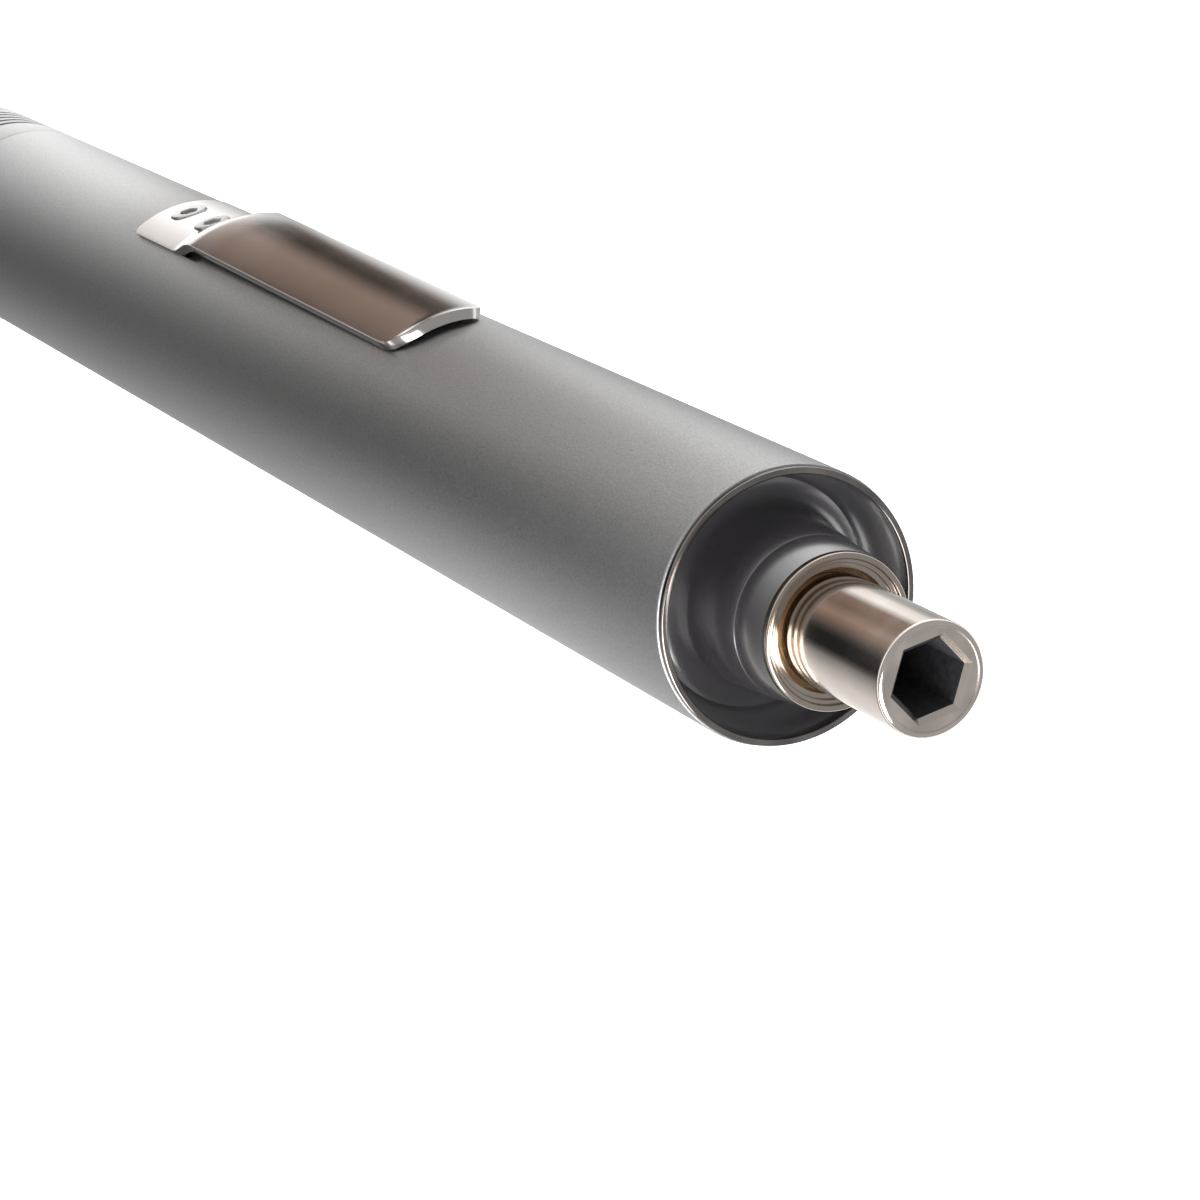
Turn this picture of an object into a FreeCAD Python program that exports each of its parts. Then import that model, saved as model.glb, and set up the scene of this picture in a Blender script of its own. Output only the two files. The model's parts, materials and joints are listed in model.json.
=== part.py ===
import FreeCAD, Part
import math
import os
import re
import Sketcher

# A battery-powered rotary lens cleaning pen, with its exchangeable cleaning head off.
#
# The pen stands on the ring at the foot of its tail cap. The origin is the middle of that ring,
# +Z runs along the pen's axis towards the nose, and +X points at the middle of the pocket clip.
# From the tail up it holds a click switch, a contact spring, two cells, a small motor, a shaft
# coupling and a hollow spindle with a hexagonal socket, which turns in two bushes in the nose.

# Driving dimensions, in millimetres and degrees. Each goes into its own cell of the sheet.
SIZES = {
    # Two cells and the sleeves in the barrel.
    "battery_radius": 5.25,
    "battery_length": 44.5,
    "battery_play": 0.25,
    "nub_radius": 1.9,
    "nub_height": 0.8,
    "jacket_wall": 0.12,
    "jacket_margin": 0.4,
    "liner_wall": 0.9,
    "liner_gap": 0.3,
    "sleeve_play": 0.1,
    # Barrel and the front rim.
    "barrel_wall": 2.0,
    "edge_break": 0.15,
    "rim_wall": 0.33,
    "rim_play": 0.02,
    "lip_depth": 4.5,
    "bezel_overlap": 0.22,
    "bezel_height": 0.4,
    "bezel_edge": 0.12,
    # Nose cup, its boss and the collar on the boss.
    "cup_length": 17.0,
    "cup_skin": 0.2,
    "cup_fit": 0.02,
    "cup_gap": 0.2,
    "dish_wall": 1.2,
    "dish_depth": 3.83,
    "dish_curve": 2.6,
    "dish_floor": 0.34,
    "dish_fillet": 0.38,
    "boss_wall": 0.71,
    "boss_spread": 0.14,
    "boss_taper": 0.27,
    "boss_curve": 14.0,
    "seam_height": 2.4,
    "seam_gap": 0.04,
    "collar_height": 5.2,
    "collar_wall": 0.45,
    "collar_shoulder": 0.12,
    "collar_spigot": 2.0,
    # Stepped ferrule on the collar.
    "ferrule_proud": 0.05,
    "ferrule_gap": 0.3,
    "ferrule_height": 0.57,
    "ferrule_spigot": 0.9,
    "ferrule_bead": 0.42,
    "ferrule_step": 0.24,
    "ferrule_ledge": 0.26,
    # Spindle, its bushes and what keeps it in place.
    "spindle_radius": 3.4,
    "spindle_reach": 16.05,
    "spindle_edge": 0.3,
    "spindle_relief": 0.2,
    "relief_rise": 0.15,
    "journal_radius": 2.6,
    "tail_radius": 1.75,
    "mouth_land": 0.43,
    "mouth_depth": 0.2,
    "lead_depth": 0.75,
    "hex_across": 4.05,
    "socket_depth": 9.0,
    "magnet_height": 2.0,
    "magnet_play": 0.03,
    "bush_play": 0.03,
    "bush_wall": 0.85,
    "bush_length": 3.0,
    "front_bush_rise": 1.2,
    "washer_height": 0.5,
    "washer_width": 1.0,
    "end_play": 0.05,
    "circlip_height": 0.4,
    "circlip_groove": 0.5,
    "circlip_width": 1.1,
    "circlip_mouth": 2.6,
    "cavity_play": 0.8,
    # Shaft coupling.
    "coupling_radius": 3.8,
    "coupling_length": 6.2,
    "coupling_rise": 0.4,
    "grub_radius": 0.8,
    "grub_sink": 0.2,
    # Motor.
    "motor_radius": 5.5,
    "motor_length": 20.0,
    "motor_play": 0.05,
    "cradle_wall": 0.85,
    "cradle_floor": 1.3,
    "can_wall": 0.6,
    "can_boss_radius": 2.5,
    "can_boss_height": 0.9,
    "shaft_radius": 0.75,
    "shaft_play": 0.03,
    "motor_bush_wall": 1.12,
    "bell_height": 2.0,
    "bell_spigot": 1.0,
    "magnet_wall": 0.95,
    "magnet_margin": 2.0,
    "magnet_gap": 3.0,
    "air_gap": 0.25,
    "core_length": 9.0,
    "core_base": 7.0,
    "hub_radius": 1.5,
    "pole_width": 1.3,
    "shoe_wall": 0.7,
    "shoe_slot": 1.1,
    "coil_wall": 0.5,
    "coil_play": 0.03,
    "commutator_radius": 1.6,
    "commutator_length": 2.4,
    "commutator_slot": 0.25,
    "brush_height": 2.6,
    "brush_width": 1.4,
    "leaf": 0.3,
    "tab_width": 1.2,
    "tab_height": 0.8,
    "tab_offset": 3.4,
    "terminal_room": 1.5,
    "ground_reach": 3.6,
    "slot_play": 0.2,
    # Contact plate and its rivet.
    "plate_height": 2.0,
    "rivet_radius": 1.45,
    "rivet_head_radius": 2.4,
    "rivet_head": 0.5,
    "rivet_clench": 0.4,
    # Tail cap and its seal.
    "tail_cap_length": 16.0,
    "foot_break": 0.3,
    "crown_depth": 1.6,
    "crown_margin": 0.6,
    "cap_wall": 3.0,
    "neck_length": 12.0,
    "neck_lead": 0.4,
    "thread_play": 0.1,
    "seal_rise": 0.6,
    "seal_cord": 0.3,
    "seal_depth": 0.55,
    "seal_width": 0.8,
    "grip_rise": 4.0,
    "grip_pitch": 1.6,
    "grip_width": 0.7,
    "grip_depth": 0.3,
    # Push button and switch.
    "button_radius": 4.4,
    "button_recess": 0.4,
    "button_play": 0.05,
    "button_edge": 0.25,
    "button_flange": 0.8,
    "button_flange_play": 0.2,
    "button_travel": 1.2,
    "button_gap": 0.38,
    "module_play": 0.05,
    "housing_height": 5.6,
    "housing_wall": 0.95,
    "housing_floor": 0.8,
    "plunger_radius": 1.6,
    "plunger_head_radius": 2.2,
    "plunger_head": 0.6,
    "plunger_lift": 0.4,
    "bridge_height": 0.3,
    "bridge_play": 0.4,
    "contact_gap": 0.05,
    "contact_width": 1.3,
    "contact_split": 2.6,
    "lid_height": 0.8,
    "return_coil_radius": 1.6,
    "return_wire": 0.2,
    "return_turns": 4.5,
    "retainer_height": 2.0,
    "retainer_wall": 0.97,
    "retainer_notch": 1.4,
    "seat_height": 0.2,
    "seat_play": 0.25,
    "tail_coil_radius": 3.5,
    "tail_wire": 0.35,
    "tail_turns": 5.0,
    "tail_spring_length": 8.5,
    # Pocket clip.
    "clip_width": 7.1,
    "clip_sheet": 0.7,
    "clip_tip_drop": 44.1,
    "clip_arm_length": 38.0,
    "clip_base_length": 13.0,
    "clip_sink": 0.35,
    "clip_rise": 0.7,
    "clip_tilt": 0.9,
    "clip_slack": 0.05,
    "clip_riser": 2.0,
    "clip_corner": 1.8,
    "clip_joint_gap": 0.1,
    "screw_radius": 0.8,
    "screw_head_radius": 1.4,
    "screw_head": 0.4,
    "screw_play": 0.05,
    "screw_reach": 1.3,
    "screw_margin": 3.0,
}

# Radii and heights above the foot that follow from the driving dimensions.
WORKED_OUT = {
    "cell_bore": "battery_radius + battery_play",
    "motor_seat": "motor_radius + motor_play",
    "sleeve_radius": "max(cell_bore + liner_wall; motor_seat + cradle_wall)",
    "barrel_bore": "sleeve_radius + sleeve_play",
    "barrel_radius": "barrel_bore + barrel_wall",
    "rim_bore": "barrel_radius - rim_wall",
    "cup_flange": "rim_bore - rim_play",
    "dish_radius": "cup_flange - cup_skin",
    "cup_shank": "barrel_bore - cup_fit",
    "front_bore": "spindle_radius + ferrule_gap",
    "bearing_radius": "spindle_radius - spindle_relief",
    "bush_radius": "bearing_radius + bush_play + bush_wall",
    "collar_inner": "bush_radius + collar_wall",
    "collar_seat": "collar_inner + cup_fit",
    "boss_radius": "collar_seat + boss_wall",
    "boss_foot": "boss_radius + boss_spread",
    "boss_top": "boss_radius - boss_taper",
    "collar_top_radius": "collar_inner + collar_shoulder",
    "ferrule_radius": "collar_top_radius + ferrule_proud",
    "washer_radius": "min(journal_radius + washer_width; front_bore - module_play)",
    "circlip_inner": "journal_radius - circlip_groove",
    "coupling_cavity": "max(coupling_radius + cavity_play; bush_radius + cup_fit)",
    "can_bore": "motor_radius - can_wall",
    "motor_bush_radius": "shaft_radius + shaft_play + motor_bush_wall",
    "armature_radius": "can_bore - magnet_wall - air_gap",
    "neck_radius": "barrel_bore - thread_play",
    "seal_floor": "neck_radius - seal_depth",
    "button_hole": "button_radius + button_play",
    "module_radius": "cell_bore - module_play",
    "housing_bore": "module_radius - housing_wall",
    "retainer_bore": "module_radius - retainer_wall",
    "clip_bed": "barrel_radius - clip_sink",
    "clip_back": "clip_bed + clip_sheet",
    "clip_pivot": "barrel_radius + clip_rise",
    "housing_base": "cap_wall + button_flange + button_travel + button_gap",
    "lid_base": "housing_base + housing_height",
    "seat_base": "lid_base + lid_height",
    "spring_base": "seat_base + seat_height",
    "cell_base": "spring_base + tail_spring_length",
    "cells_top": "cell_base + 2 * battery_length",
    "plate_base": "cells_top + rivet_head",
    "cradle_base": "plate_base + plate_height",
    "motor_base": "cradle_base + terminal_room",
    "motor_top": "motor_base + motor_length",
    "cradle_top": "motor_top + cradle_floor",
    "cup_base": "cradle_top + cup_gap",
    "nose_face": "cup_base + cup_length",
    "flange_base": "nose_face - lip_depth",
    "bezel_base": "nose_face - 2 * bezel_height",
    "barrel_top": "nose_face - bezel_height",
    "coupling_base": "cup_base + coupling_rise",
    "coupling_top": "coupling_base + coupling_length",
    "spindle_base": "coupling_base + coupling_length / 2",
    "circlip_base": "coupling_top + cup_gap + end_play",
    "rear_bush_base": "circlip_base + circlip_height + end_play",
    "rear_bush_top": "rear_bush_base + bush_length",
    "spindle_step": "rear_bush_top + washer_height + 2 * end_play",
    "spindle_end": "nose_face + spindle_reach",
    "front_bush_base": "nose_face + front_bush_rise",
    "collar_base": "nose_face + seam_height - collar_spigot",
    "collar_top": "nose_face + collar_height",
    "ferrule_base": "collar_top - ferrule_spigot",
    "clip_hinge": "nose_face - clip_tip_drop - clip_arm_length",
    "plunger_base": "cap_wall + button_flange + button_play / 2",
    "plunger_top": "housing_base + housing_floor + plunger_lift + plunger_head",
    "bridge_top": "plunger_top + bridge_height",
    "contact_base": "bridge_top + button_travel + contact_gap",
}

CELLS = 2
GRUB_SCREWS = 2
GRIP_GROOVES = 5
POLES = 3
HEX_SIDES = 6
LEFT, RIGHT = 1, -1

doc = FreeCAD.newDocument("LensCleaningPen")
sheet = doc.addObject("Spreadsheet::Sheet", "Sizes")
sub_parts = []


def fill_sheet():
    """Write each driving dimension into a cell of its own, named by its alias."""
    for row, (name, size) in enumerate(SIZES.items(), start=1):
        sheet.set(f"A{row}", str(size))
        sheet.setAlias(f"A{row}", name)
    doc.recompute()


def formula(text):
    """Spell a formula out in the sheet's own cells."""
    def spell(match):
        word = match.group()
        if word in SIZES:
            return "Sizes." + word
        if word in WORKED_OUT:
            return "(" + formula(WORKED_OUT[word]) + ")"
        return word
    return re.sub(r"[a-z_]+", spell, text)


def value(text):
    """The number that a formula gives now."""
    return float(sheet.evalExpression(formula(text)))


def place(thing, across="0", along="0", up="0"):
    """Tie an object's position to formulas."""
    for axis, text in (("x", across), ("y", along), ("z", up)):
        if text != "0":
            thing.setExpression("Placement.Base." + axis, formula(text))
    return thing


def keep(thing, label):
    """Name an object as one of the pen's sub-parts."""
    thing.Label = label
    sub_parts.append(thing)
    return thing


# Sketches and turned pieces.

def curve_between(start, end, turn, radius):
    """The short arc from start to end that turns left or right, and whether it is stored reversed."""
    chord = end - start
    middle = (start + end) * 0.5
    left = FreeCAD.Vector(-chord.y, chord.x, 0).normalize()
    rise = math.sqrt(radius ** 2 - (chord.Length / 2) ** 2)
    centre = middle + left * rise * turn
    first, last = (start, end) if turn == LEFT else (end, start)
    angles = [math.atan2(point.y - centre.y, point.x - centre.x) for point in (first, last)]
    circle = Part.Circle(centre, FreeCAD.Vector(0, 0, 1), radius)
    return Part.ArcOfCircle(circle, *angles)


def fix_corner(sketch, edge, end, corner, before, closes):
    """Give one corner of an outline its two constraints, level or upright where it can be."""
    straight = len(corner) == 2
    for index, (kind, aligned, axis) in enumerate((("DistanceX", "Vertical", -2),
                                                   ("DistanceY", "Horizontal", -1))):
        text = corner[index]
        if text == "0":
            sketch.addConstraint(Sketcher.Constraint("PointOnObject", edge, end, axis))
        elif straight and text == before[index]:
            sketch.addConstraint(Sketcher.Constraint(aligned, edge))
        elif closes and text == closes[index]:
            sketch.addConstraint(Sketcher.Constraint(aligned, edge + 1))
        else:
            made = sketch.addConstraint(Sketcher.Constraint(kind, -1, 1, edge, end, value(text)))
            sketch.setExpression(f"Constraints[{made}]", formula(text))


def draw_outline(sketch, corners):
    """Draw a closed outline through corners, each (across, up) or (across, up, turn, radius).

    The two extra entries make the edge that arrives at a corner an arc. The edge that closes
    the outline is straight, from the last corner to the first.
    """
    points = [FreeCAD.Vector(value(corner[0]), value(corner[1]), 0) for corner in corners]
    count = len(corners)
    ends = []
    for index in range(count):
        corner = corners[(index + 1) % count]
        start, end = points[index], points[(index + 1) % count]
        if len(corner) == 4 and index + 1 < count:
            turn, radius = corner[2], corner[3]
            sketch.addGeometry(curve_between(start, end, turn, value(radius)))
            made = sketch.addConstraint(Sketcher.Constraint("Radius", index, value(radius)))
            sketch.setExpression(f"Constraints[{made}]", formula(radius))
            ends.append((1, 2) if turn == LEFT else (2, 1))
        else:
            sketch.addGeometry(Part.LineSegment(start, end))
            ends.append((1, 2))
    for index in range(count):
        following = (index + 1) % count
        joined = (index, ends[index][1], following, ends[following][0])
        sketch.addConstraint(Sketcher.Constraint("Coincident", *joined))
    fix_corner(sketch, 0, ends[0][0], corners[0] + ("first", "corner"), corners[0], None)
    for index in range(1, count):
        closes = corners[0] if index == count - 1 else None
        fix_corner(sketch, index - 1, ends[index - 1][1], corners[index], corners[index - 1], closes)


def new_sketch(body, plane, name):
    """An empty sketch on one of a body's own origin planes."""
    sketch = body.newObject("Sketcher::SketchObject", name)
    flat = next(item for item in body.Origin.OriginFeatures if item.Role == plane)
    sketch.AttachmentSupport = [(flat, "")]
    sketch.MapMode = "FlatFace"
    return sketch


def turned(name, base, corners):
    """A body turned about the pen's axis from its half outline, standing at the given height."""
    body = doc.addObject("PartDesign::Body", name + "_body")
    sketch = new_sketch(body, "XZ_Plane", name + "_outline")
    draw_outline(sketch, corners)
    turn = body.newObject("PartDesign::Revolution", name + "_turning")
    turn.Profile = sketch
    turn.ReferenceAxis = (sketch, ["V_Axis"])
    turn.Angle = 360
    sketch.Visibility = False
    return place(body, up=base)


def ring(name, base, inner, outer, height):
    """A plain turned ring, or a disc where inner is "0"."""
    return turned(name, base, [(inner, "0"), (outer, "0"), (outer, height), (inner, height)])


# Solids from the Part workbench.

def cylinder(name, radius, height, across="0", along="0", up="0"):
    """A cylinder along Z."""
    made = doc.addObject("Part::Cylinder", name)
    made.setExpression("Radius", formula(radius))
    made.setExpression("Height", formula(height))
    return place(made, across, along, up)


def radial_cylinder(name, radius, start, length, up):
    """A cylinder that points away from the axis along +X."""
    made = cylinder(name, radius, length)
    made.Placement.Rotation = FreeCAD.Rotation(FreeCAD.Vector(0, 1, 0), 90)
    return place(made, across=start, up=up)


def block(name, start, size, turn=0):
    """A box from its lowest corner and its three sizes, then turned about Z."""
    made = doc.addObject("Part::Box", name)
    for side, text in zip(("Length", "Width", "Height"), size):
        made.setExpression(side, formula(text))
    if not turn:
        return place(made, *start)
    turned_box = doc.addObject("Part::Compound", name + "_turned")
    turned_box.Links = [place(made, *start)]
    turned_box.Placement.Rotation = FreeCAD.Rotation(FreeCAD.Vector(0, 0, 1), turn)
    return turned_box


def cut(name, base, *tools):
    """The base with every tool taken out of it."""
    made = doc.addObject("Part::Cut", name)
    made.Base = base
    made.Tool = tools[0] if len(tools) == 1 else fuse(name + "_tools", *tools)
    return made


def fuse(name, *pieces):
    """Pieces joined into one solid."""
    made = doc.addObject("Part::MultiFuse", name)
    made.Shapes = list(pieces)
    return made


def common(name, *pieces):
    """What the pieces share."""
    made = doc.addObject("Part::MultiCommon", name)
    made.Shapes = list(pieces)
    return made


def group(name, *pieces):
    """Separate solids kept together in one sub-part."""
    made = doc.addObject("Part::Compound", name)
    made.Links = list(pieces)
    return made


def coil_spring(name, base, coil_radius, wire_radius, height, turns):
    """A round-wire spring whose wire stays between base and base plus height."""
    helix = doc.addObject("Part::Helix", name + "_line")
    rise = f"({height} - 2 * {wire_radius} - 2 * module_play)"
    helix.setExpression("Radius", formula(coil_radius))
    helix.setExpression("Height", formula(rise))
    helix.setExpression("Pitch", formula(f"{rise} / {turns}"))
    wire = doc.addObject("Part::Circle", name + "_wire")
    wire.setExpression("Radius", formula(wire_radius))
    wire.Placement.Rotation = FreeCAD.Rotation(FreeCAD.Vector(1, 0, 0), 90)
    place(wire, across=coil_radius)
    sweep = doc.addObject("Part::Sweep", name)
    sweep.Sections = [wire]
    sweep.Spine = (helix, [])
    sweep.Solid = True
    sweep.Frenet = True
    return place(sweep, up=f"{base} + {wire_radius} + module_play")


# The tail: screw cap, seal, push button and switch.

def make_tail_cap():
    """Screw cap with its grip grooves, threaded neck, seal groove and recessed crown."""
    grooves = []
    for index in range(GRIP_GROOVES):
        low = f"grip_rise + {index} * grip_pitch"
        high = f"{low} + grip_width"
        grooves += [("barrel_radius", low), ("barrel_radius - grip_depth", low),
                    ("barrel_radius - grip_depth", high), ("barrel_radius", high)]
    seal_low = "tail_cap_length + seal_rise"
    seal_high = f"{seal_low} + seal_width"
    neck_top = "tail_cap_length + neck_length"
    corners = [
        ("button_radius + crown_margin", "0"),
        ("barrel_radius - foot_break", "0"),
        ("barrel_radius", "foot_break", LEFT, "foot_break"),
        *grooves,
        ("barrel_radius", "tail_cap_length - edge_break"),
        ("barrel_radius - edge_break", "tail_cap_length"),
        ("neck_radius", "tail_cap_length"),
        ("neck_radius", seal_low),
        ("seal_floor", seal_low),
        ("seal_floor", seal_high),
        ("neck_radius", seal_high),
        ("neck_radius", f"{neck_top} - neck_lead"),
        ("neck_radius - neck_lead", neck_top),
        ("cell_bore", neck_top),
        ("cell_bore", "cap_wall"),
        ("button_hole", "cap_wall"),
        ("button_hole", "crown_depth"),
        ("button_radius + crown_margin", "crown_depth"),
    ]
    keep(turned("tail_cap", "0", corners), "tail_cap")
    seal = doc.addObject("Part::Torus", "seal")
    seal.setExpression("Radius1", formula("seal_floor + seal_cord"))
    seal.setExpression("Radius2", formula("seal_cord"))
    place(seal, up=f"{seal_low} + seal_width / 2")
    keep(seal, "tail_o_ring")


def make_button():
    """Push button, the plunger that it lifts and the contact bridge on the plunger."""
    head = "cap_wall - button_recess + button_play / 2"
    corners = [
        ("0", "0"),
        ("button_radius - button_edge", "0"),
        ("button_radius", "button_edge", LEFT, "button_edge"),
        ("button_radius", head),
        ("cell_bore - button_flange_play", head),
        ("cell_bore - button_flange_play", f"{head} + button_flange"),
        ("0", f"{head} + button_flange"),
    ]
    keep(turned("button", "button_recess", corners), "tail_button")
    shoulder = "plunger_top - plunger_head - plunger_base"
    corners = [
        ("0", "0"),
        ("plunger_radius", "0"),
        ("plunger_radius", shoulder),
        ("plunger_head_radius", shoulder),
        ("plunger_head_radius", "plunger_top - plunger_base"),
        ("0", "plunger_top - plunger_base"),
    ]
    keep(turned("plunger", "plunger_base", corners), "switch_plunger")
    bridge = ring("bridge", "plunger_top", "0", "housing_bore - bridge_play", "bridge_height")
    keep(bridge, "contact_bridge")


def make_switch():
    """Switch housing, fixed contacts, return spring, lid, spring seat and retaining ring."""
    corners = [
        ("plunger_radius + button_play", "0"),
        ("module_radius", "0"),
        ("module_radius", "housing_height"),
        ("housing_bore", "housing_height"),
        ("housing_bore", "housing_floor"),
        ("plunger_radius + button_play", "housing_floor"),
    ]
    keep(turned("housing", "housing_base", corners), "switch_housing")
    track = ring("track", "contact_base", "housing_bore - contact_width", "housing_bore", "bridge_height")
    split = block("track_split", ("-module_radius", "-contact_split / 2", "contact_base - bridge_height"),
                  ("2 * module_radius", "contact_split", "3 * bridge_height"))
    keep(cut("contacts", track, split), "switch_contacts")
    back = coil_spring("return", "bridge_top", "return_coil_radius", "return_wire",
                       "(lid_base - bridge_top)", "return_turns")
    keep(back, "switch_return_spring")
    keep(ring("lid", "lid_base", "0", "module_radius", "lid_height"), "switch_lid")
    seat = ring("seat", "seat_base", "0", "retainer_bore - seat_play", "seat_height")
    keep(seat, "spring_seat")
    hoop = ring("hoop", "seat_base", "retainer_bore", "module_radius", "retainer_height")
    notch = block("notch", ("-module_radius", "-retainer_notch / 2", "seat_base + retainer_height / 2"),
                  ("2 * module_radius", "retainer_notch", "retainer_height"))
    keep(cut("retainer", hoop, notch), "switch_retainer")


def make_tail_spring():
    """The spring that presses the cells forward."""
    spring = coil_spring("tail", "spring_base", "tail_coil_radius", "tail_wire",
                         "tail_spring_length", "tail_turns")
    keep(spring, "tail_spring")


# The barrel, the cells and what feeds the motor.

def clip_sector(name, inner, outer, width, length, up):
    """A strip of tube wall on the +X side, as wide as asked."""
    wall = cut(name + "_wall", cylinder(name + "_out", outer, length, up=up),
               cylinder(name + "_in", inner, length, up=up))
    window = block(name + "_window", ("0", f"-({width}) / 2", up), (f"2 * ({outer})", width, length))
    return common(name, wall, window)


def screw_heights():
    """Heights of the two clip screws."""
    return ("clip_hinge - clip_joint_gap - clip_base_length + screw_margin",
            "clip_hinge - clip_joint_gap - clip_riser - screw_margin")


def make_barrel():
    """The long barrel with its thin front lip, the clip's bed and the clip's screw holes."""
    length = "(barrel_top - tail_cap_length)"
    corners = [
        ("barrel_bore", "0"),
        ("barrel_radius - edge_break", "0"),
        ("barrel_radius", "edge_break"),
        ("barrel_radius", f"{length} - bezel_edge"),
        ("barrel_radius - bezel_edge", length),
        ("rim_bore", length),
        ("rim_bore", "flange_base - tail_cap_length"),
        ("barrel_bore", "flange_base - tail_cap_length"),
    ]
    shell = turned("shell", "tail_cap_length", corners)
    bed = clip_sector("bed", "clip_bed", "barrel_radius + clip_sheet", "clip_width + 2 * clip_slack",
                      "clip_base_length + 2 * clip_slack",
                      "clip_hinge - clip_joint_gap - clip_base_length - clip_slack")
    holes = [radial_cylinder(f"tapping_{index}", "screw_radius + screw_play / 2",
                             "clip_bed - screw_reach - screw_play", "screw_reach + clip_sheet", up)
             for index, up in enumerate(screw_heights())]
    keep(cut("barrel_cut", shell, bed, *holes), "barrel")


def make_cells():
    """Two cells, each a steel can with its nub and a thin jacket, and the sleeve they lie in."""
    cans, jackets = [], []
    for index in range(CELLS):
        base = f"cell_base + {index} * battery_length"
        shoulder = "battery_length - nub_height"
        corners = [
            ("0", "0"),
            ("battery_radius - jacket_wall", "0"),
            ("battery_radius - jacket_wall", shoulder),
            ("nub_radius", shoulder),
            ("nub_radius", "battery_length"),
            ("0", "battery_length"),
        ]
        cans.append(turned(f"can_{index}", base, corners))
        jackets.append(ring(f"jacket_{index}", f"{base} + jacket_margin", "battery_radius - jacket_wall",
                            "battery_radius", f"{shoulder} - 2 * jacket_margin"))
    keep(group("cells", *cans), "battery_cells")
    keep(group("jackets", *jackets), "battery_jackets")
    liner_base = "(tail_cap_length + neck_length + liner_gap)"
    keep(ring("liner", liner_base, "cell_bore", "sleeve_radius", f"plate_base - {liner_base}"),
         "battery_liner")


def make_front_contact():
    """Insulating plate ahead of the cells and the rivet that carries the current through it."""
    keep(ring("plate", "plate_base", "rivet_radius", "sleeve_radius", "plate_height"), "contact_plate")
    upper = "rivet_head + plate_height"
    corners = [
        ("0", "0"),
        ("rivet_head_radius", "0"),
        ("rivet_head_radius", "rivet_head"),
        ("rivet_radius", "rivet_head"),
        ("rivet_radius", upper),
        ("rivet_head_radius", upper),
        ("rivet_head_radius", f"{upper} + rivet_clench"),
        ("0", f"{upper} + rivet_clench"),
    ]
    keep(turned("rivet", "cells_top", corners), "front_contact")


def make_motor_wiring():
    """Motor terminals, the strap from the rivet to one of them and the clip that earths the other."""
    tabs = [block(f"tab_{index}", (across, "-tab_width / 2", "motor_base - tab_height"),
                  ("leaf", "tab_width", "tab_height"))
            for index, across in enumerate(("-tab_offset - leaf", "tab_offset"))]
    keep(group("terminals", *tabs), "motor_terminals")
    strap_up = "cradle_base + rivet_clench"
    strap = block("strap", ("-tab_offset - leaf", "-tab_width / 2", strap_up),
                  ("tab_offset + leaf", "tab_width", "motor_base - tab_height - cradle_base - rivet_clench"))
    keep(strap, "feed_strap")
    foot = block("ground_foot", ("tab_offset", "-tab_width / 2", "motor_base - tab_height - leaf"),
                 ("sleeve_radius - tab_offset - leaf / 2", "tab_width", "leaf"))
    blade = block("ground_blade", ("sleeve_radius - leaf", "-tab_width / 2", "motor_base - tab_height - leaf"),
                  ("leaf", "tab_width", "ground_reach"))
    trim = cylinder("ground_trim", "sleeve_radius", "2 * ground_reach", up="motor_base - ground_reach")
    keep(common("ground", fuse("ground_bent", foot, blade), trim), "ground_clip")


def make_cradle():
    """Sleeve that holds the motor, with a slot for the ground clip's blade."""
    height = "cradle_top - cradle_base"
    inner = "motor_top + motor_play - cradle_base"
    hole = "can_boss_radius + motor_play"
    corners = [
        ("motor_seat", "0"),
        ("sleeve_radius", "0"),
        ("sleeve_radius", height),
        (hole, height),
        (hole, inner),
        ("motor_seat", inner),
    ]
    sleeve = turned("cradle_sleeve", "cradle_base", corners)
    slot = block("cradle_slot", ("tab_offset", "-tab_width / 2 - slot_play", "cradle_base"),
                 ("sleeve_radius", "tab_width + 2 * slot_play",
                  "terminal_room - tab_height - leaf + ground_reach + slot_play"))
    keep(cut("cradle", sleeve, slot), "motor_cradle")


# The motor.

def make_motor_shell():
    """Steel can, plastic end bell and the two sintered bushes in them."""
    height = "(motor_length - bell_height)"
    boss_top = f"{height} + can_boss_height"
    corners = [
        ("can_bore", "0"),
        ("motor_radius", "0"),
        ("motor_radius", height),
        ("can_boss_radius", height),
        ("can_boss_radius", boss_top),
        ("motor_bush_radius", boss_top),
        ("motor_bush_radius", f"{height} - can_wall"),
        ("can_bore", f"{height} - can_wall"),
    ]
    keep(turned("can", "motor_base + bell_height", corners), "motor_can")
    corners = [
        ("motor_bush_radius", "0"),
        ("motor_radius", "0"),
        ("motor_radius", "bell_height"),
        ("can_bore", "bell_height"),
        ("can_bore", "bell_height + bell_spigot"),
        ("motor_bush_radius", "bell_height + bell_spigot"),
    ]
    keep(turned("bell", "motor_base", corners), "motor_end_bell")
    bore = "shaft_radius + shaft_play"
    keep(ring("rear_sinter", "motor_base", bore, "motor_bush_radius", "bell_height + bell_spigot / 2"),
         "motor_rear_bush")
    keep(ring("front_sinter", "motor_top - can_wall", bore, "motor_bush_radius",
              "can_wall + can_boss_height"), "motor_front_bush")


def make_magnets():
    """Two arc magnets against the can's wall."""
    low = "(motor_base + bell_height + bell_spigot + magnet_margin)"
    height = f"(motor_top - can_wall - magnet_margin - {low})"
    hoop = ring("magnet_hoop", low, "can_bore - magnet_wall", "can_bore", height)
    gap = block("magnet_split", ("-motor_radius", "-magnet_gap / 2", low),
                ("2 * motor_radius", "magnet_gap", height))
    keep(cut("magnets", hoop, gap), "motor_magnets")


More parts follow.
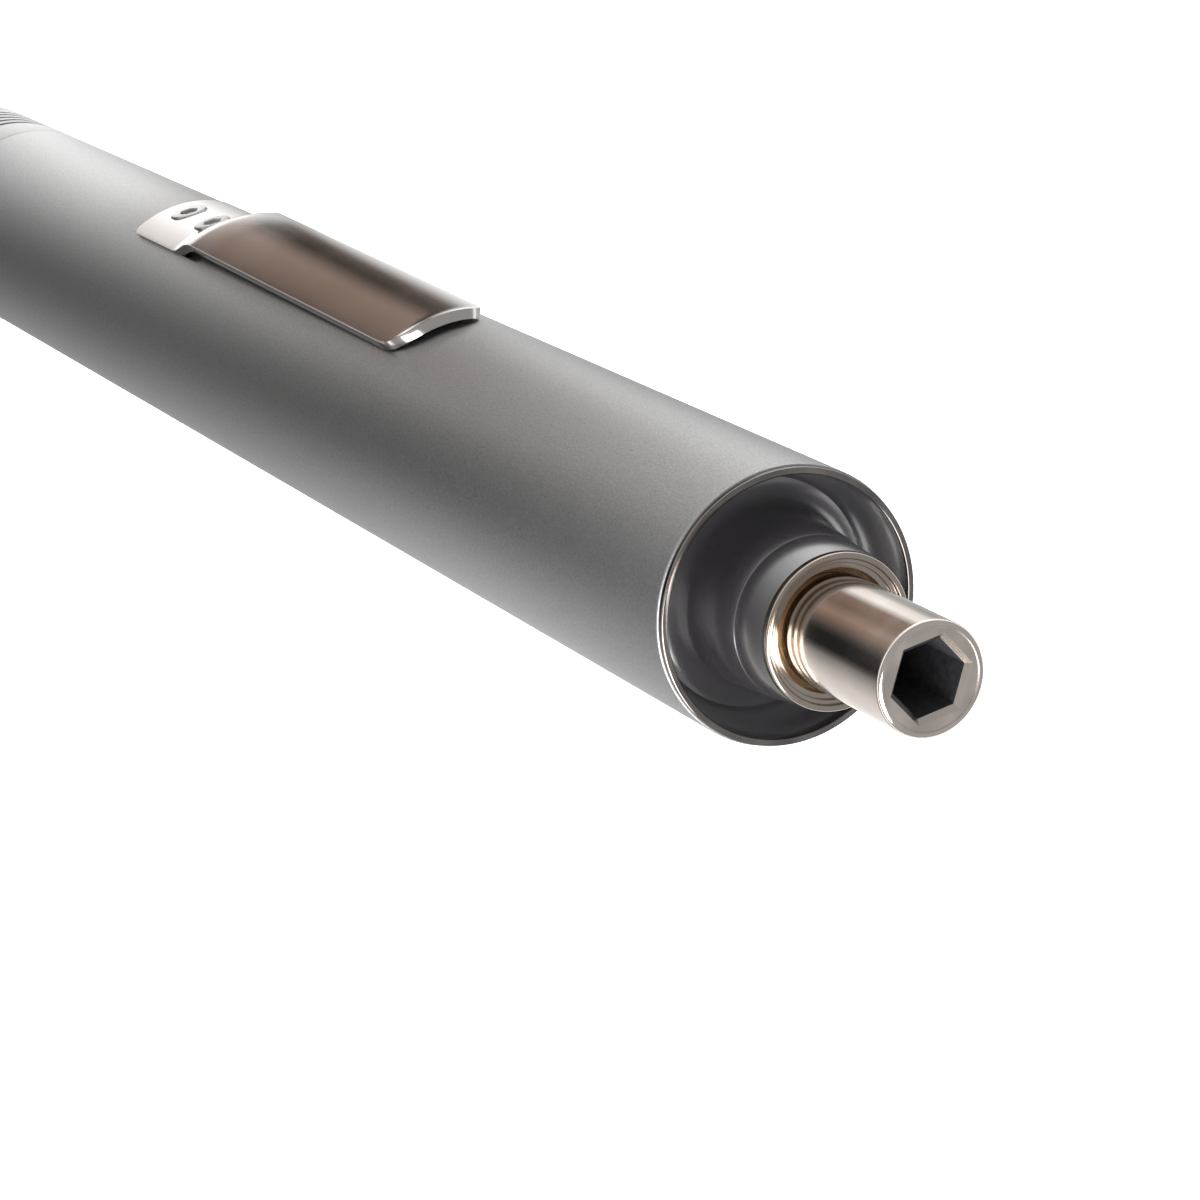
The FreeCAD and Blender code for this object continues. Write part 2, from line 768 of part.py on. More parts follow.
def make_armature():
    """Shaft, three-pole core, a coil on each pole and the commutator."""
    low = "(motor_base + core_base)"
    shoe_inner = "(armature_radius - shoe_wall)"
    hub = cylinder("hub", "hub_radius", "core_length", up=low)
    poles, slots, coils = [], [], []
    for index in range(POLES):
        turn = 360 * index / POLES
        poles.append(block(f"pole_{index}", ("0", "-pole_width / 2", low),
                           (f"{shoe_inner} + shoe_wall / 2", "pole_width", "core_length"), turn))
        slots.append(block(f"shoe_slot_{index}", ("0", "-shoe_slot / 2", low),
                           ("motor_radius", "shoe_slot", "core_length"), turn + 180 / POLES))
        reach = f"({shoe_inner} - hub_radius - 2 * coil_play)"
        half = "(pole_width / 2 + coil_wall)"
        bundle = block(f"coil_out_{index}", ("hub_radius + coil_play", f"-{half}", f"{low} - coil_wall"),
                       (reach, f"2 * {half}", "core_length + 2 * coil_wall"), turn)
        wound = common(f"coil_wound_{index}", bundle,
                       cylinder(f"coil_limit_{index}", f"{shoe_inner} - coil_play",
                                "core_length + 2 * coil_wall", up=f"{low} - coil_wall"))
        hollow = block(f"coil_in_{index}", ("0", "-pole_width / 2 - coil_play", f"{low} - coil_play"),
                       ("motor_radius", "pole_width + 2 * coil_play", "core_length + 2 * coil_play"), turn)
        coils.append(cut(f"coil_{index}", wound, hollow))
    shoes = cut("shoes", ring("shoe_hoop", low, shoe_inner, "armature_radius", "core_length"), *slots)
    solid_core = fuse("core_solid", hub, *poles, shoes)
    bore = cylinder("core_bore", "shaft_radius", "core_length", up=low)
    keep(cut("core", solid_core, bore), "armature_core")
    keep(group("windings", *coils), "armature_windings")
    drum_low = "(motor_base + bell_height + bell_spigot + module_play)"
    drum = ring("drum", drum_low, "shaft_radius", "commutator_radius", "commutator_length")
    cuts = [block(f"drum_slot_{index}", ("shaft_radius + leaf", "-commutator_slot / 2", drum_low),
                  ("commutator_radius", "commutator_slot", "commutator_length"), 360 * index / POLES)
            for index in range(POLES)]
    keep(cut("commutator_cut", drum, *cuts), "commutator")
    keep(ring("shaft", "motor_base", "0", "shaft_radius", "spindle_base - bush_play - motor_base"),
         "motor_shaft")


def make_brushes():
    """Two leaf brushes, one each side of the commutator."""
    clear = "commutator_radius + bush_play"
    leaves = [block(f"brush_{index}", (across, "-brush_width / 2", "motor_base + bell_height + bell_spigot"),
                    ("leaf", "brush_width", "brush_height"))
              for index, across in enumerate((f"-({clear}) - leaf", clear))]
    keep(group("brushes", *leaves), "motor_brushes")


# The nose.

def make_nose_cup():
    """Dished nose insert with its central boss, bored for the bushes and the coupling."""
    face = "cup_length"
    dish_low = f"{face} - dish_depth"
    bush_low = "rear_bush_base - cup_base"
    bush_high = "rear_bush_top - cup_base"
    collar_low = "collar_base - cup_base"
    seam = f"{face} + seam_height"
    corners = [
        ("coupling_cavity", "0"),
        ("cup_shank", "0"),
        ("cup_shank", "cup_length - lip_depth"),
        ("cup_flange", "cup_length - lip_depth"),
        ("cup_flange", f"{face} - 2 * bezel_height"),
        ("dish_radius", f"{face} - 2 * bezel_height"),
        ("dish_radius", f"{face} - dish_wall"),
        ("boss_foot + dish_fillet + dish_floor - boss_spread", dish_low, RIGHT, "dish_curve"),
        ("boss_foot + dish_fillet", dish_low),
        ("boss_foot", f"{dish_low} + dish_fillet", RIGHT, "dish_fillet"),
        ("boss_radius", face),
        ("boss_top", seam, LEFT, "boss_curve"),
        ("collar_seat", seam),
        ("collar_seat", collar_low),
        ("front_bore", collar_low),
        ("front_bore", bush_high),
        ("bush_radius", bush_high),
        ("bush_radius", bush_low),
        ("coupling_cavity", bush_low),
    ]
    keep(turned("cup", "cup_base", corners), "nose_cup")


def make_nose_collar():
    """The upper half of the boss, whose spigot seats in the cup."""
    seam = "collar_spigot + seam_gap"
    top = "collar_top - collar_base"
    corners = [
        ("bush_radius", "0"),
        ("collar_inner", "0"),
        ("collar_inner", seam),
        ("boss_top", seam),
        ("collar_top_radius", top, LEFT, "boss_curve"),
        ("bush_radius", top),
    ]
    keep(turned("collar", "collar_base", corners), "nose_collar")


def make_ferrule():
    """Stepped ring that closes the collar round the spindle."""
    crest = "ferrule_spigot + ferrule_height"
    rim = "ferrule_step / 2"
    step = "ferrule_radius - ferrule_bead"
    ledge = f"{step} - ferrule_ledge"
    corners = [
        ("front_bore", "0"),
        ("bush_radius", "0"),
        ("bush_radius", "ferrule_spigot"),
        ("ferrule_radius", "ferrule_spigot"),
        ("ferrule_radius", f"{crest} - {rim}"),
        (f"ferrule_radius - {rim}", crest, LEFT, rim),
        (step, crest),
        (step, f"{crest} - ferrule_step"),
        (ledge, f"{crest} - ferrule_step"),
        (ledge, f"{crest} - 2 * ferrule_step"),
        ("front_bore", f"{crest} - 2 * ferrule_step"),
    ]
    keep(turned("ferrule", "ferrule_base", corners), "ferrule_ring")


def make_bezel():
    """Polished ring between the barrel's front edge and the dish."""
    outer = "rim_bore + bezel_overlap"
    crest = "2 * bezel_height"
    corners = [
        ("dish_radius", "0"),
        ("cup_flange", "0"),
        ("cup_flange", "bezel_height"),
        (outer, "bezel_height"),
        (outer, f"{crest} - bezel_edge"),
        (f"{outer} - bezel_edge", crest, LEFT, "bezel_edge"),
        ("dish_radius + bezel_edge", crest),
        ("dish_radius", f"{crest} - bezel_edge", LEFT, "bezel_edge"),
    ]
    keep(turned("bezel", "bezel_base", corners), "bezel_ring")


# The spindle and what turns with it.

def hexagon(name, corner_radius, depth, up, taper=0):
    """A hexagonal peg that points down from a height, narrowing by an angle as it goes."""
    outline = doc.addObject("Part::RegularPolygon", name + "_outline")
    outline.Polygon = HEX_SIDES
    outline.setExpression("Circumradius", formula(corner_radius))
    place(outline, up=up)
    peg = doc.addObject("Part::Extrusion", name)
    peg.Base = outline
    peg.DirMode = "Custom"
    peg.Dir = FreeCAD.Vector(0, 0, -1)
    peg.Solid = True
    peg.setExpression("LengthFwd", formula(depth))
    if taper:
        peg.setExpression("TaperAngle", formula(taper))
    return peg


def make_spindle():
    """Hollow drive spindle: rear tail, journal with its circlip groove, and the socket's mouth."""
    end = "(spindle_end - spindle_base)"
    tail_top = "(circlip_base - end_play - spindle_base)"
    groove_top = "(rear_bush_base - spindle_base)"
    step = "(spindle_step - spindle_base)"
    relief_top = "(collar_top + ferrule_height + relief_rise - spindle_base)"
    corners = [
        ("0", "0"),
        ("tail_radius", "0"),
        ("tail_radius", tail_top + " - cup_gap / 2"),
        ("journal_radius", tail_top + " - cup_gap / 2"),
        ("journal_radius", tail_top),
        ("circlip_inner", tail_top),
        ("circlip_inner", groove_top),
        ("journal_radius", groove_top),
        ("journal_radius", step),
        ("bearing_radius", step),
        ("bearing_radius", relief_top),
        ("spindle_radius", relief_top),
        ("spindle_radius", f"{end} - spindle_edge"),
        ("spindle_radius - spindle_edge", end, LEFT, "spindle_edge"),
        ("0", end),
    ]
    blank = turned("spindle_blank", "spindle_base", corners)
    mouth = "(spindle_radius - mouth_land)"
    corner = "(hex_across / 2 / cos(30))"
    recess = cylinder("mouth", mouth, "mouth_depth", up="spindle_end - mouth_depth")
    lead = hexagon("lead", mouth, "lead_depth", "spindle_end - mouth_depth",
                   f"-atan(({mouth} - {corner}) * cos(30) / lead_depth)")
    socket = hexagon("socket", corner, "socket_depth + magnet_height", "spindle_end - mouth_depth")
    keep(cut("spindle", blank, recess, lead, socket), "drive_spindle")
    magnet = ring("tip_magnet", "spindle_end - mouth_depth - socket_depth - magnet_height", "0",
                  "hex_across / 2 - magnet_play", "magnet_height")
    keep(magnet, "socket_magnet")


def make_spindle_fittings():
    """Circlip, thrust washer and the two bushes that the spindle turns in."""
    hoop = ring("circlip_hoop", "circlip_base", "circlip_inner", "circlip_inner + circlip_width",
                "circlip_height")
    mouth = block("circlip_opening", ("0", "-circlip_mouth / 2", "circlip_base"),
                  ("coupling_radius", "circlip_mouth", "circlip_height"))
    keep(cut("circlip", hoop, mouth), "spindle_circlip")
    keep(ring("washer", "rear_bush_top + end_play", "journal_radius", "washer_radius", "washer_height"),
         "thrust_washer")
    keep(ring("rear_bushing", "rear_bush_base", "journal_radius + bush_play", "bush_radius",
              "bush_length"), "spindle_rear_bush")
    keep(ring("front_bushing", "front_bush_base", "bearing_radius + bush_play", "bush_radius",
              "ferrule_base - front_bush_base"), "spindle_front_bush")


def make_coupling():
    """Brass sleeve that joins the motor's shaft to the spindle, and its two grub screws."""
    middle = "coupling_length / 2"
    corners = [
        ("shaft_radius", "0"),
        ("coupling_radius", "0"),
        ("coupling_radius", "coupling_length"),
        ("tail_radius", "coupling_length"),
        ("tail_radius", middle),
        ("shaft_radius", middle),
    ]
    sleeve = turned("coupling_sleeve", "coupling_base", corners)
    tappings, grubs = [], []
    for index, inner in enumerate(("shaft_radius", "tail_radius")):
        up = f"coupling_base + ({index} + 0.5) * coupling_length / {GRUB_SCREWS}"
        tappings.append(radial_cylinder(f"grub_tapping_{index}", "grub_radius", inner,
                                        "coupling_radius", up))
        grubs.append(radial_cylinder(f"grub_{index}", "grub_radius", inner,
                                     f"coupling_radius - grub_sink - {inner}", up))
    keep(cut("coupling", sleeve, *tappings), "shaft_coupling")
    keep(group("grubs", *grubs), "coupling_screws")


# The pocket clip.

def make_clip_base():
    """Foot of the pocket clip, sunk in its bed on the barrel, with the riser that the arm leaves."""
    low = "(clip_hinge - clip_joint_gap - clip_base_length)"
    sole = clip_sector("clip_sole", "clip_bed", "clip_back", "clip_width", "clip_base_length", low)
    riser = clip_sector("clip_step", "clip_bed", "clip_pivot + clip_sheet", "clip_width", "clip_riser",
                        "clip_hinge - clip_joint_gap - clip_riser")
    holes, screws = [], []
    for index, up in enumerate(screw_heights()):
        head_low = "clip_back - clip_sheet / 2"
        holes.append(radial_cylinder(f"clip_hole_{index}", "screw_radius + screw_play", "clip_bed - screw_play",
                                     "clip_sheet", up))
        holes.append(radial_cylinder(f"clip_sinking_{index}", "screw_head_radius + screw_play", head_low,
                                     "2 * clip_sheet", up))
        shank = radial_cylinder(f"screw_shank_{index}", "screw_radius", "clip_bed - screw_reach",
                                "screw_reach + clip_sheet / 2 + screw_head / 2", up)
        head = radial_cylinder(f"screw_head_{index}", "screw_head_radius", head_low, "screw_head", up)
        socket = radial_cylinder(f"screw_socket_{index}", "screw_radius", f"{head_low} + screw_head / 2",
                                 "screw_head", up)
        screws.append(cut(f"screw_{index}", fuse(f"screw_blank_{index}", shank, head), socket))
    keep(cut("clip_foot", fuse("clip_foot_blank", sole, riser), *holes), "clip_base")
    keep(group("screws", *screws), "clip_screws")


def make_clip_arm():
    """Springy arm of the clip, curved round the barrel, with rounded corners at its tip."""
    body = doc.addObject("PartDesign::Body", "clip_outline_body")
    sketch = new_sketch(body, "YZ_Plane", "clip_outline")
    half = "clip_width / 2"
    corner = f"({half} - clip_corner)"
    draw_outline(sketch, [
        ("-" + half, "0"),
        (half, "0"),
        (half, "clip_arm_length - clip_corner"),
        (corner, "clip_arm_length", LEFT, "clip_corner"),
        ("-" + corner, "clip_arm_length"),
        ("-" + half, "clip_arm_length - clip_corner", LEFT, "clip_corner"),
    ])
    pad = body.newObject("PartDesign::Pad", "clip_outline_pad")
    pad.Profile = sketch
    pad.setExpression("Length", formula("3 * clip_width"))
    pad.Midplane = True
    wall = cut("clip_wall", cylinder("clip_out", "clip_pivot + clip_sheet", "clip_arm_length",
                                     across="-clip_pivot"),
               cylinder("clip_in", "clip_pivot", "clip_arm_length", across="-clip_pivot"))
    front = block("clip_front", ("-clip_pivot", "-clip_width", "0"),
                  ("2 * clip_pivot", "2 * clip_width", "clip_arm_length"))
    arm = common("clip_arm_strip", wall, body, front)
    arm.Placement.Rotation = FreeCAD.Rotation(FreeCAD.Vector(0, -1, 0), 1)
    arm.setExpression("Placement.Rotation.Angle", formula("clip_tilt"))
    place(arm, across="clip_pivot", up="clip_hinge")
    keep(arm, "clip_arm")


def check_model():
    """Stop if any object failed, or if a sub-part's shape is missing or broken."""
    doc.recompute()
    for thing in doc.Objects:
        if "Invalid" in thing.State or "Error" in thing.State:
            raise RuntimeError(f"{thing.Label} failed: {thing.State}")
    for thing in sub_parts:
        if thing.Shape.isNull() or not thing.Shape.isValid() or not thing.Shape.Solids:
            raise RuntimeError(f"{thing.Label} has no sound shape")


def export_parts():
    """Write each sub-part to a file named after its label."""
    os.makedirs("parts", exist_ok=True)
    for thing in sub_parts:
        thing.Shape.exportStep(f"parts/{thing.Label}.step")
        print(f"{thing.Label}: {len(thing.Shape.Solids)} solid(s), {thing.Shape.Volume:.1f} mm3")


fill_sheet()
for make in (make_tail_cap, make_button, make_switch, make_tail_spring, make_barrel, make_cells,
             make_front_contact, make_motor_wiring, make_cradle, make_motor_shell, make_magnets,
             make_armature, make_brushes, make_nose_cup, make_nose_collar, make_ferrule, make_bezel,
             make_spindle, make_spindle_fittings, make_coupling, make_clip_base, make_clip_arm):
    make()
check_model()
export_parts()
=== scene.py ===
import json
import logging
import math
from collections.abc import Callable
from dataclasses import dataclass
from enum import Enum

import bmesh
import bpy
from mathutils import Euler, Matrix, Vector


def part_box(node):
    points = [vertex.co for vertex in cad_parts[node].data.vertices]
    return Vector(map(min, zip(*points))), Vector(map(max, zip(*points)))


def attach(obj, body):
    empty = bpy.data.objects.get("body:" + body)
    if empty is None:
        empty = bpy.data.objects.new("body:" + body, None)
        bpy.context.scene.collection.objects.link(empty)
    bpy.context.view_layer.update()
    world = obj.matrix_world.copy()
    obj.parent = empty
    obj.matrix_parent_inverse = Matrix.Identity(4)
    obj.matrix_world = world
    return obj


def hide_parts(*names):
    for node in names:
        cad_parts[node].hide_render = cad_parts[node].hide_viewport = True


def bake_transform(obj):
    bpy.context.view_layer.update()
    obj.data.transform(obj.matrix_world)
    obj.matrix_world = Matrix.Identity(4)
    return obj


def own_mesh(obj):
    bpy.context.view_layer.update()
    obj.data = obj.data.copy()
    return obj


# A battery-powered lens cleaning pen with its cleaning head off. The pen stands on the foot of
# its tail cap, +Z runs along its axis towards the nose and +X points at the pocket clip.
# Lengths are in metres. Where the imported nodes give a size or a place, it is taken from them.

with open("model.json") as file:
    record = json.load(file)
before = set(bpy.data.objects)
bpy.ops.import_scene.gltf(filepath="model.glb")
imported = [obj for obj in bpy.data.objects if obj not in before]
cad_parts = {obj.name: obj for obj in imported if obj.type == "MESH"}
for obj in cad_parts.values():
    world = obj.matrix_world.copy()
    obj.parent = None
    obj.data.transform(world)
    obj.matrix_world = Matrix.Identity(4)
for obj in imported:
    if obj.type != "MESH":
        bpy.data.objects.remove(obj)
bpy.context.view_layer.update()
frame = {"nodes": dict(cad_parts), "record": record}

logging.basicConfig(level=logging.INFO, format="%(message)s")
log = logging.getLogger("cleaning_pen")

Colour = tuple[float, float, float]
ROUND_STEPS = 192
SMALL_STEPS = 96
HEX_SIDES = 6
LEFT, RIGHT = 1, -1
CARD_GLOW = 1.3
LIP_DEPTH = 0.0045
PATTERN_ENDS = (0.3, 0.7)
SMUDGE = 7
SMEAR = 6
SHARP_ANGLE = math.radians(33)
SAME_POINT = 1e-7
WAVE_PERIOD = math.tau / 20


class Body(str, Enum):
    """The bodies that new pieces move with."""

    BARREL = "barrel_unit"
    SPINDLE = "spindle_unit"
    CLIP = "clip_unit"
    CAP = "cap_unit"
    BUTTON = "button_unit"


class Slot(str, Enum):
    """The finishes that the pen's pieces have: the record's, then two local ones."""

    BLASTED = "bead_blasted_aluminium"
    TURNED = "turned_aluminium"
    DARK_NICKEL = "dark_nickel"
    WARM_NICKEL = "warm_nickel"
    GLOSS_BLACK = "gloss_black"
    MATTE_BLACK = "matte_black"
    NYLON = "nylon_white"
    SLEEVE = "clear_sleeve"
    BRONZE = "sintered_bronze"
    BRASS = "brass"
    COPPER = "copper_wire"
    SPRING = "spring_steel"
    STEEL = "steel"
    CLIP_STEEL = "polished_steel"
    FERRITE = "magnet_black"
    PLATED_MAGNET = "magnet_nickel"
    RUBBER = "rubber_black"
    CELL_CAN = "cell_can"
    JACKET = "cell_jacket"
    LAMINATIONS = "laminations"
    FERRULE_NICKEL = "ferrule_nickel"
    END_NICKEL = "end_nickel"


# Finishes.


class Board:
    """A material's nodes, with short calls for the ones that the finishes share."""

    def __init__(self, name: str) -> None:
        """Start a material with a shader, an output and the piece's own coordinates."""
        self.material = bpy.data.materials.new(name)
        self.material.use_nodes = True
        self.tree = self.material.node_tree
        self.tree.nodes.clear()
        self.shader = self.add("ShaderNodeBsdfPrincipled")
        output = self.add("ShaderNodeOutputMaterial")
        self.join(self.shader.outputs["BSDF"], output.inputs["Surface"])
        self.place = self.add("ShaderNodeTexCoord").outputs["Object"]

    def add(self, kind: str, **settings: object) -> bpy.types.Node:
        """Add a node.

        Args:
            kind: The node's type name.
            settings: Properties to set on the node.

        Returns:
            The new node.
        """
        node = self.tree.nodes.new(kind)
        for name, value in settings.items():
            setattr(node, name, value)
        return node

    def join(self, start: bpy.types.NodeSocket, end: bpy.types.NodeSocket) -> None:
        """Link an output to an input."""
        self.tree.links.new(start, end)

    def fix(self, **values: float | Colour) -> None:
        """Set the shader's own sockets, named with underscores for spaces."""
        for name, value in values.items():
            socket = self.shader.inputs[name.replace("_", " ")]
            socket.default_value = (*value, 1.0) if isinstance(value, tuple) else value

    def noise(self, size: float, detail: float = 2.0) -> bpy.types.NodeSocket:
        """Cloudy grain.

        Args:
            size: The grain's size in metres.
            detail: How many finer layers it has.

        Returns:
            The grain, from 0 to 1.
        """
        node = self.add("ShaderNodeTexNoise")
        self.join(self.place, node.inputs["Vector"])
        node.inputs["Scale"].default_value = 1.0 / size
        node.inputs["Detail"].default_value = detail
        return node.outputs["Fac"]

    def lines(self, pitch: float, rings: bool, wobble: float) -> bpy.types.NodeSocket:
        """Fine lines, one above another along Z or in rings round Z.

        Args:
            pitch: The distance from one line to the next, in metres.
            rings: Whether the lines are rings in a plane across the axis.
            wobble: How far the lines stray.

        Returns:
            The lines, from 0 to 1.
        """
        node = self.add("ShaderNodeTexWave", wave_type="RINGS" if rings else "BANDS",
                        rings_direction="Z", bands_direction="Z")
        self.join(self.place, node.inputs["Vector"])
        node.inputs["Scale"].default_value = WAVE_PERIOD / pitch
        node.inputs["Distortion"].default_value = wobble
        node.inputs["Detail"].default_value = 2.0
        return node.outputs["Fac"]

    def tint(self, factor: bpy.types.NodeSocket, low: Colour, high: Colour) -> None:
        """Colour the shader from one colour to another by a pattern.

        Args:
            factor: The pattern.
            low: The colour where the pattern is low.
            high: The colour where the pattern is high.
        """
        ramp = self.add("ShaderNodeValToRGB")
        self.join(factor, ramp.inputs["Fac"])
        elements = ramp.color_ramp.elements
        for element, position, colour in zip(elements, PATTERN_ENDS, (low, high)):
            element.position = position
            element.color = (*colour, 1.0)
        self.join(ramp.outputs["Color"], self.shader.inputs["Base Color"])

    def spread(self, factor: bpy.types.NodeSocket, socket: str, low: float, high: float) -> None:
        """Vary one of the shader's numbers by a pattern between two values."""
        node = self.add("ShaderNodeMapRange")
        self.join(factor, node.inputs["Value"])
        ends = (*PATTERN_ENDS, low, high)
        for name, value in zip(("From Min", "From Max", "To Min", "To Max"), ends):
            node.inputs[name].default_value = value
        self.join(node.outputs["Result"], self.shader.inputs[socket])

    def bump(self, height: bpy.types.NodeSocket, depth: float, strength: float,
             under: bpy.types.NodeSocket | None = None) -> bpy.types.NodeSocket:
        """Raise the surface by a pattern.

        Args:
            height: The pattern.
            depth: How deep it is, in metres.
            strength: How much of it shows, from 0 to 1.
            under: A bump that this one lies on.

        Returns:
            The bumped normal.
        """
        node = self.add("ShaderNodeBump")
        node.inputs["Distance"].default_value = depth
        node.inputs["Strength"].default_value = strength
        self.join(height, node.inputs["Height"])
        if under is not None:
            self.join(under, node.inputs["Normal"])
        self.join(node.outputs["Normal"], self.shader.inputs["Normal"])
        return node.outputs["Normal"]


@dataclass(frozen=True)
class Finish:
    """A surface with a fine grain in its colour, its roughness and its height.

    Attributes:
        base: The darker of its two colours.
        light: The lighter of its two colours.
        metal: 1 for a metal and 0 for anything else.
        rough: Its least and greatest roughness.
        grain: The size of its grain, in metres.
        relief: How deep the grain is, in metres.
        shows: How much of the relief shows.
    """

    base: Colour
    light: Colour
    metal: float = 0.0
    rough: tuple[float, float] = (0.4, 0.5)
    grain: float = 0.0004
    relief: float = 0.00001
    shows: float = 0.3

    def dress(self, board: Board) -> None:
        """Give the board this finish."""
        board.fix(Metallic=self.metal)
        grain = board.noise(self.grain, detail=3.0)
        board.tint(grain, self.base, self.light)
        board.spread(board.noise(self.grain * SMUDGE), "Roughness", *self.rough)
        board.bump(grain, self.relief, self.shows)


@dataclass(frozen=True)
class Blasted(Finish):
    """Bead-blasted and anodised metal: a fine sparkle over a coarser grain.

    Attributes:
        sparkle: The size of its sparkle, in metres.
        sparkle_relief: The sparkle's depth, as a share of the grain's.
        sparkle_shows: How much of the sparkle shows, as a share of the grain's.
    """

    sparkle: float = 0.00006
    sparkle_relief: float = 1 / 3
    sparkle_shows: float = 0.6

    def dress(self, board: Board) -> None:
        """Give the board this finish."""
        board.fix(Metallic=self.metal)
        sparkle = board.noise(self.sparkle, detail=1.0)
        grain = board.noise(self.grain, detail=4.0)
        board.tint(grain, self.base, self.light)
        board.spread(sparkle, "Roughness", *self.rough)
        dimples = board.bump(grain, self.relief, self.shows)
        board.bump(sparkle, self.relief * self.sparkle_relief,
                   self.shows * self.sparkle_shows, under=dimples)


@dataclass(frozen=True)
class Turned(Finish):
    """Machined metal or a stack of thin layers, with fine lines along Z or in rings round it.

    Attributes:
        pitch: The distance from one line to the next, in metres.
        rings: Whether the lines are rings in a plane across the axis.
        wobble: How far the lines stray.
    """

    pitch: float = 0.00008
    rings: bool = False
    wobble: float = 0.6

    def dress(self, board: Board) -> None:
        """Give the board this finish."""
        board.fix(Metallic=self.metal)
        lines = board.lines(self.pitch, self.rings, self.wobble)
        smear = board.noise(self.grain * SMEAR, detail=3.0)
        board.tint(smear, self.base, self.light)
        board.spread(smear, "Roughness", *self.rough)
        board.bump(lines, self.relief, self.shows)


@dataclass(frozen=True)
class Lacquered(Finish):
    """A smooth coloured surface under a clear gloss coat, with a slight ripple.

    Attributes:
        coat: How much clear coat lies on it.
        coat_rough: The coat's roughness.
        index: The refractive index of the colour under the coat.
    """

    coat: float = 1.0
    coat_rough: float = 0.04
    index: float = 1.5

    def dress(self, board: Board) -> None:
        """Give the board this finish."""
        super().dress(board)
        board.fix(Coat_Weight=self.coat, Coat_Roughness=self.coat_rough, IOR=self.index)


@dataclass(frozen=True)
class Soft(Finish):
    """Rubber or a soft plastic, with a dusty sheen.

    Attributes:
        sheen: How much sheen it has.
        sheen_rough: The sheen's roughness.
    """

    sheen: float = 0.25
    sheen_rough: float = 0.5

    def dress(self, board: Board) -> None:
        """Give the board this finish."""
        super().dress(board)
        board.fix(Sheen_Weight=self.sheen, Sheen_Roughness=self.sheen_rough)


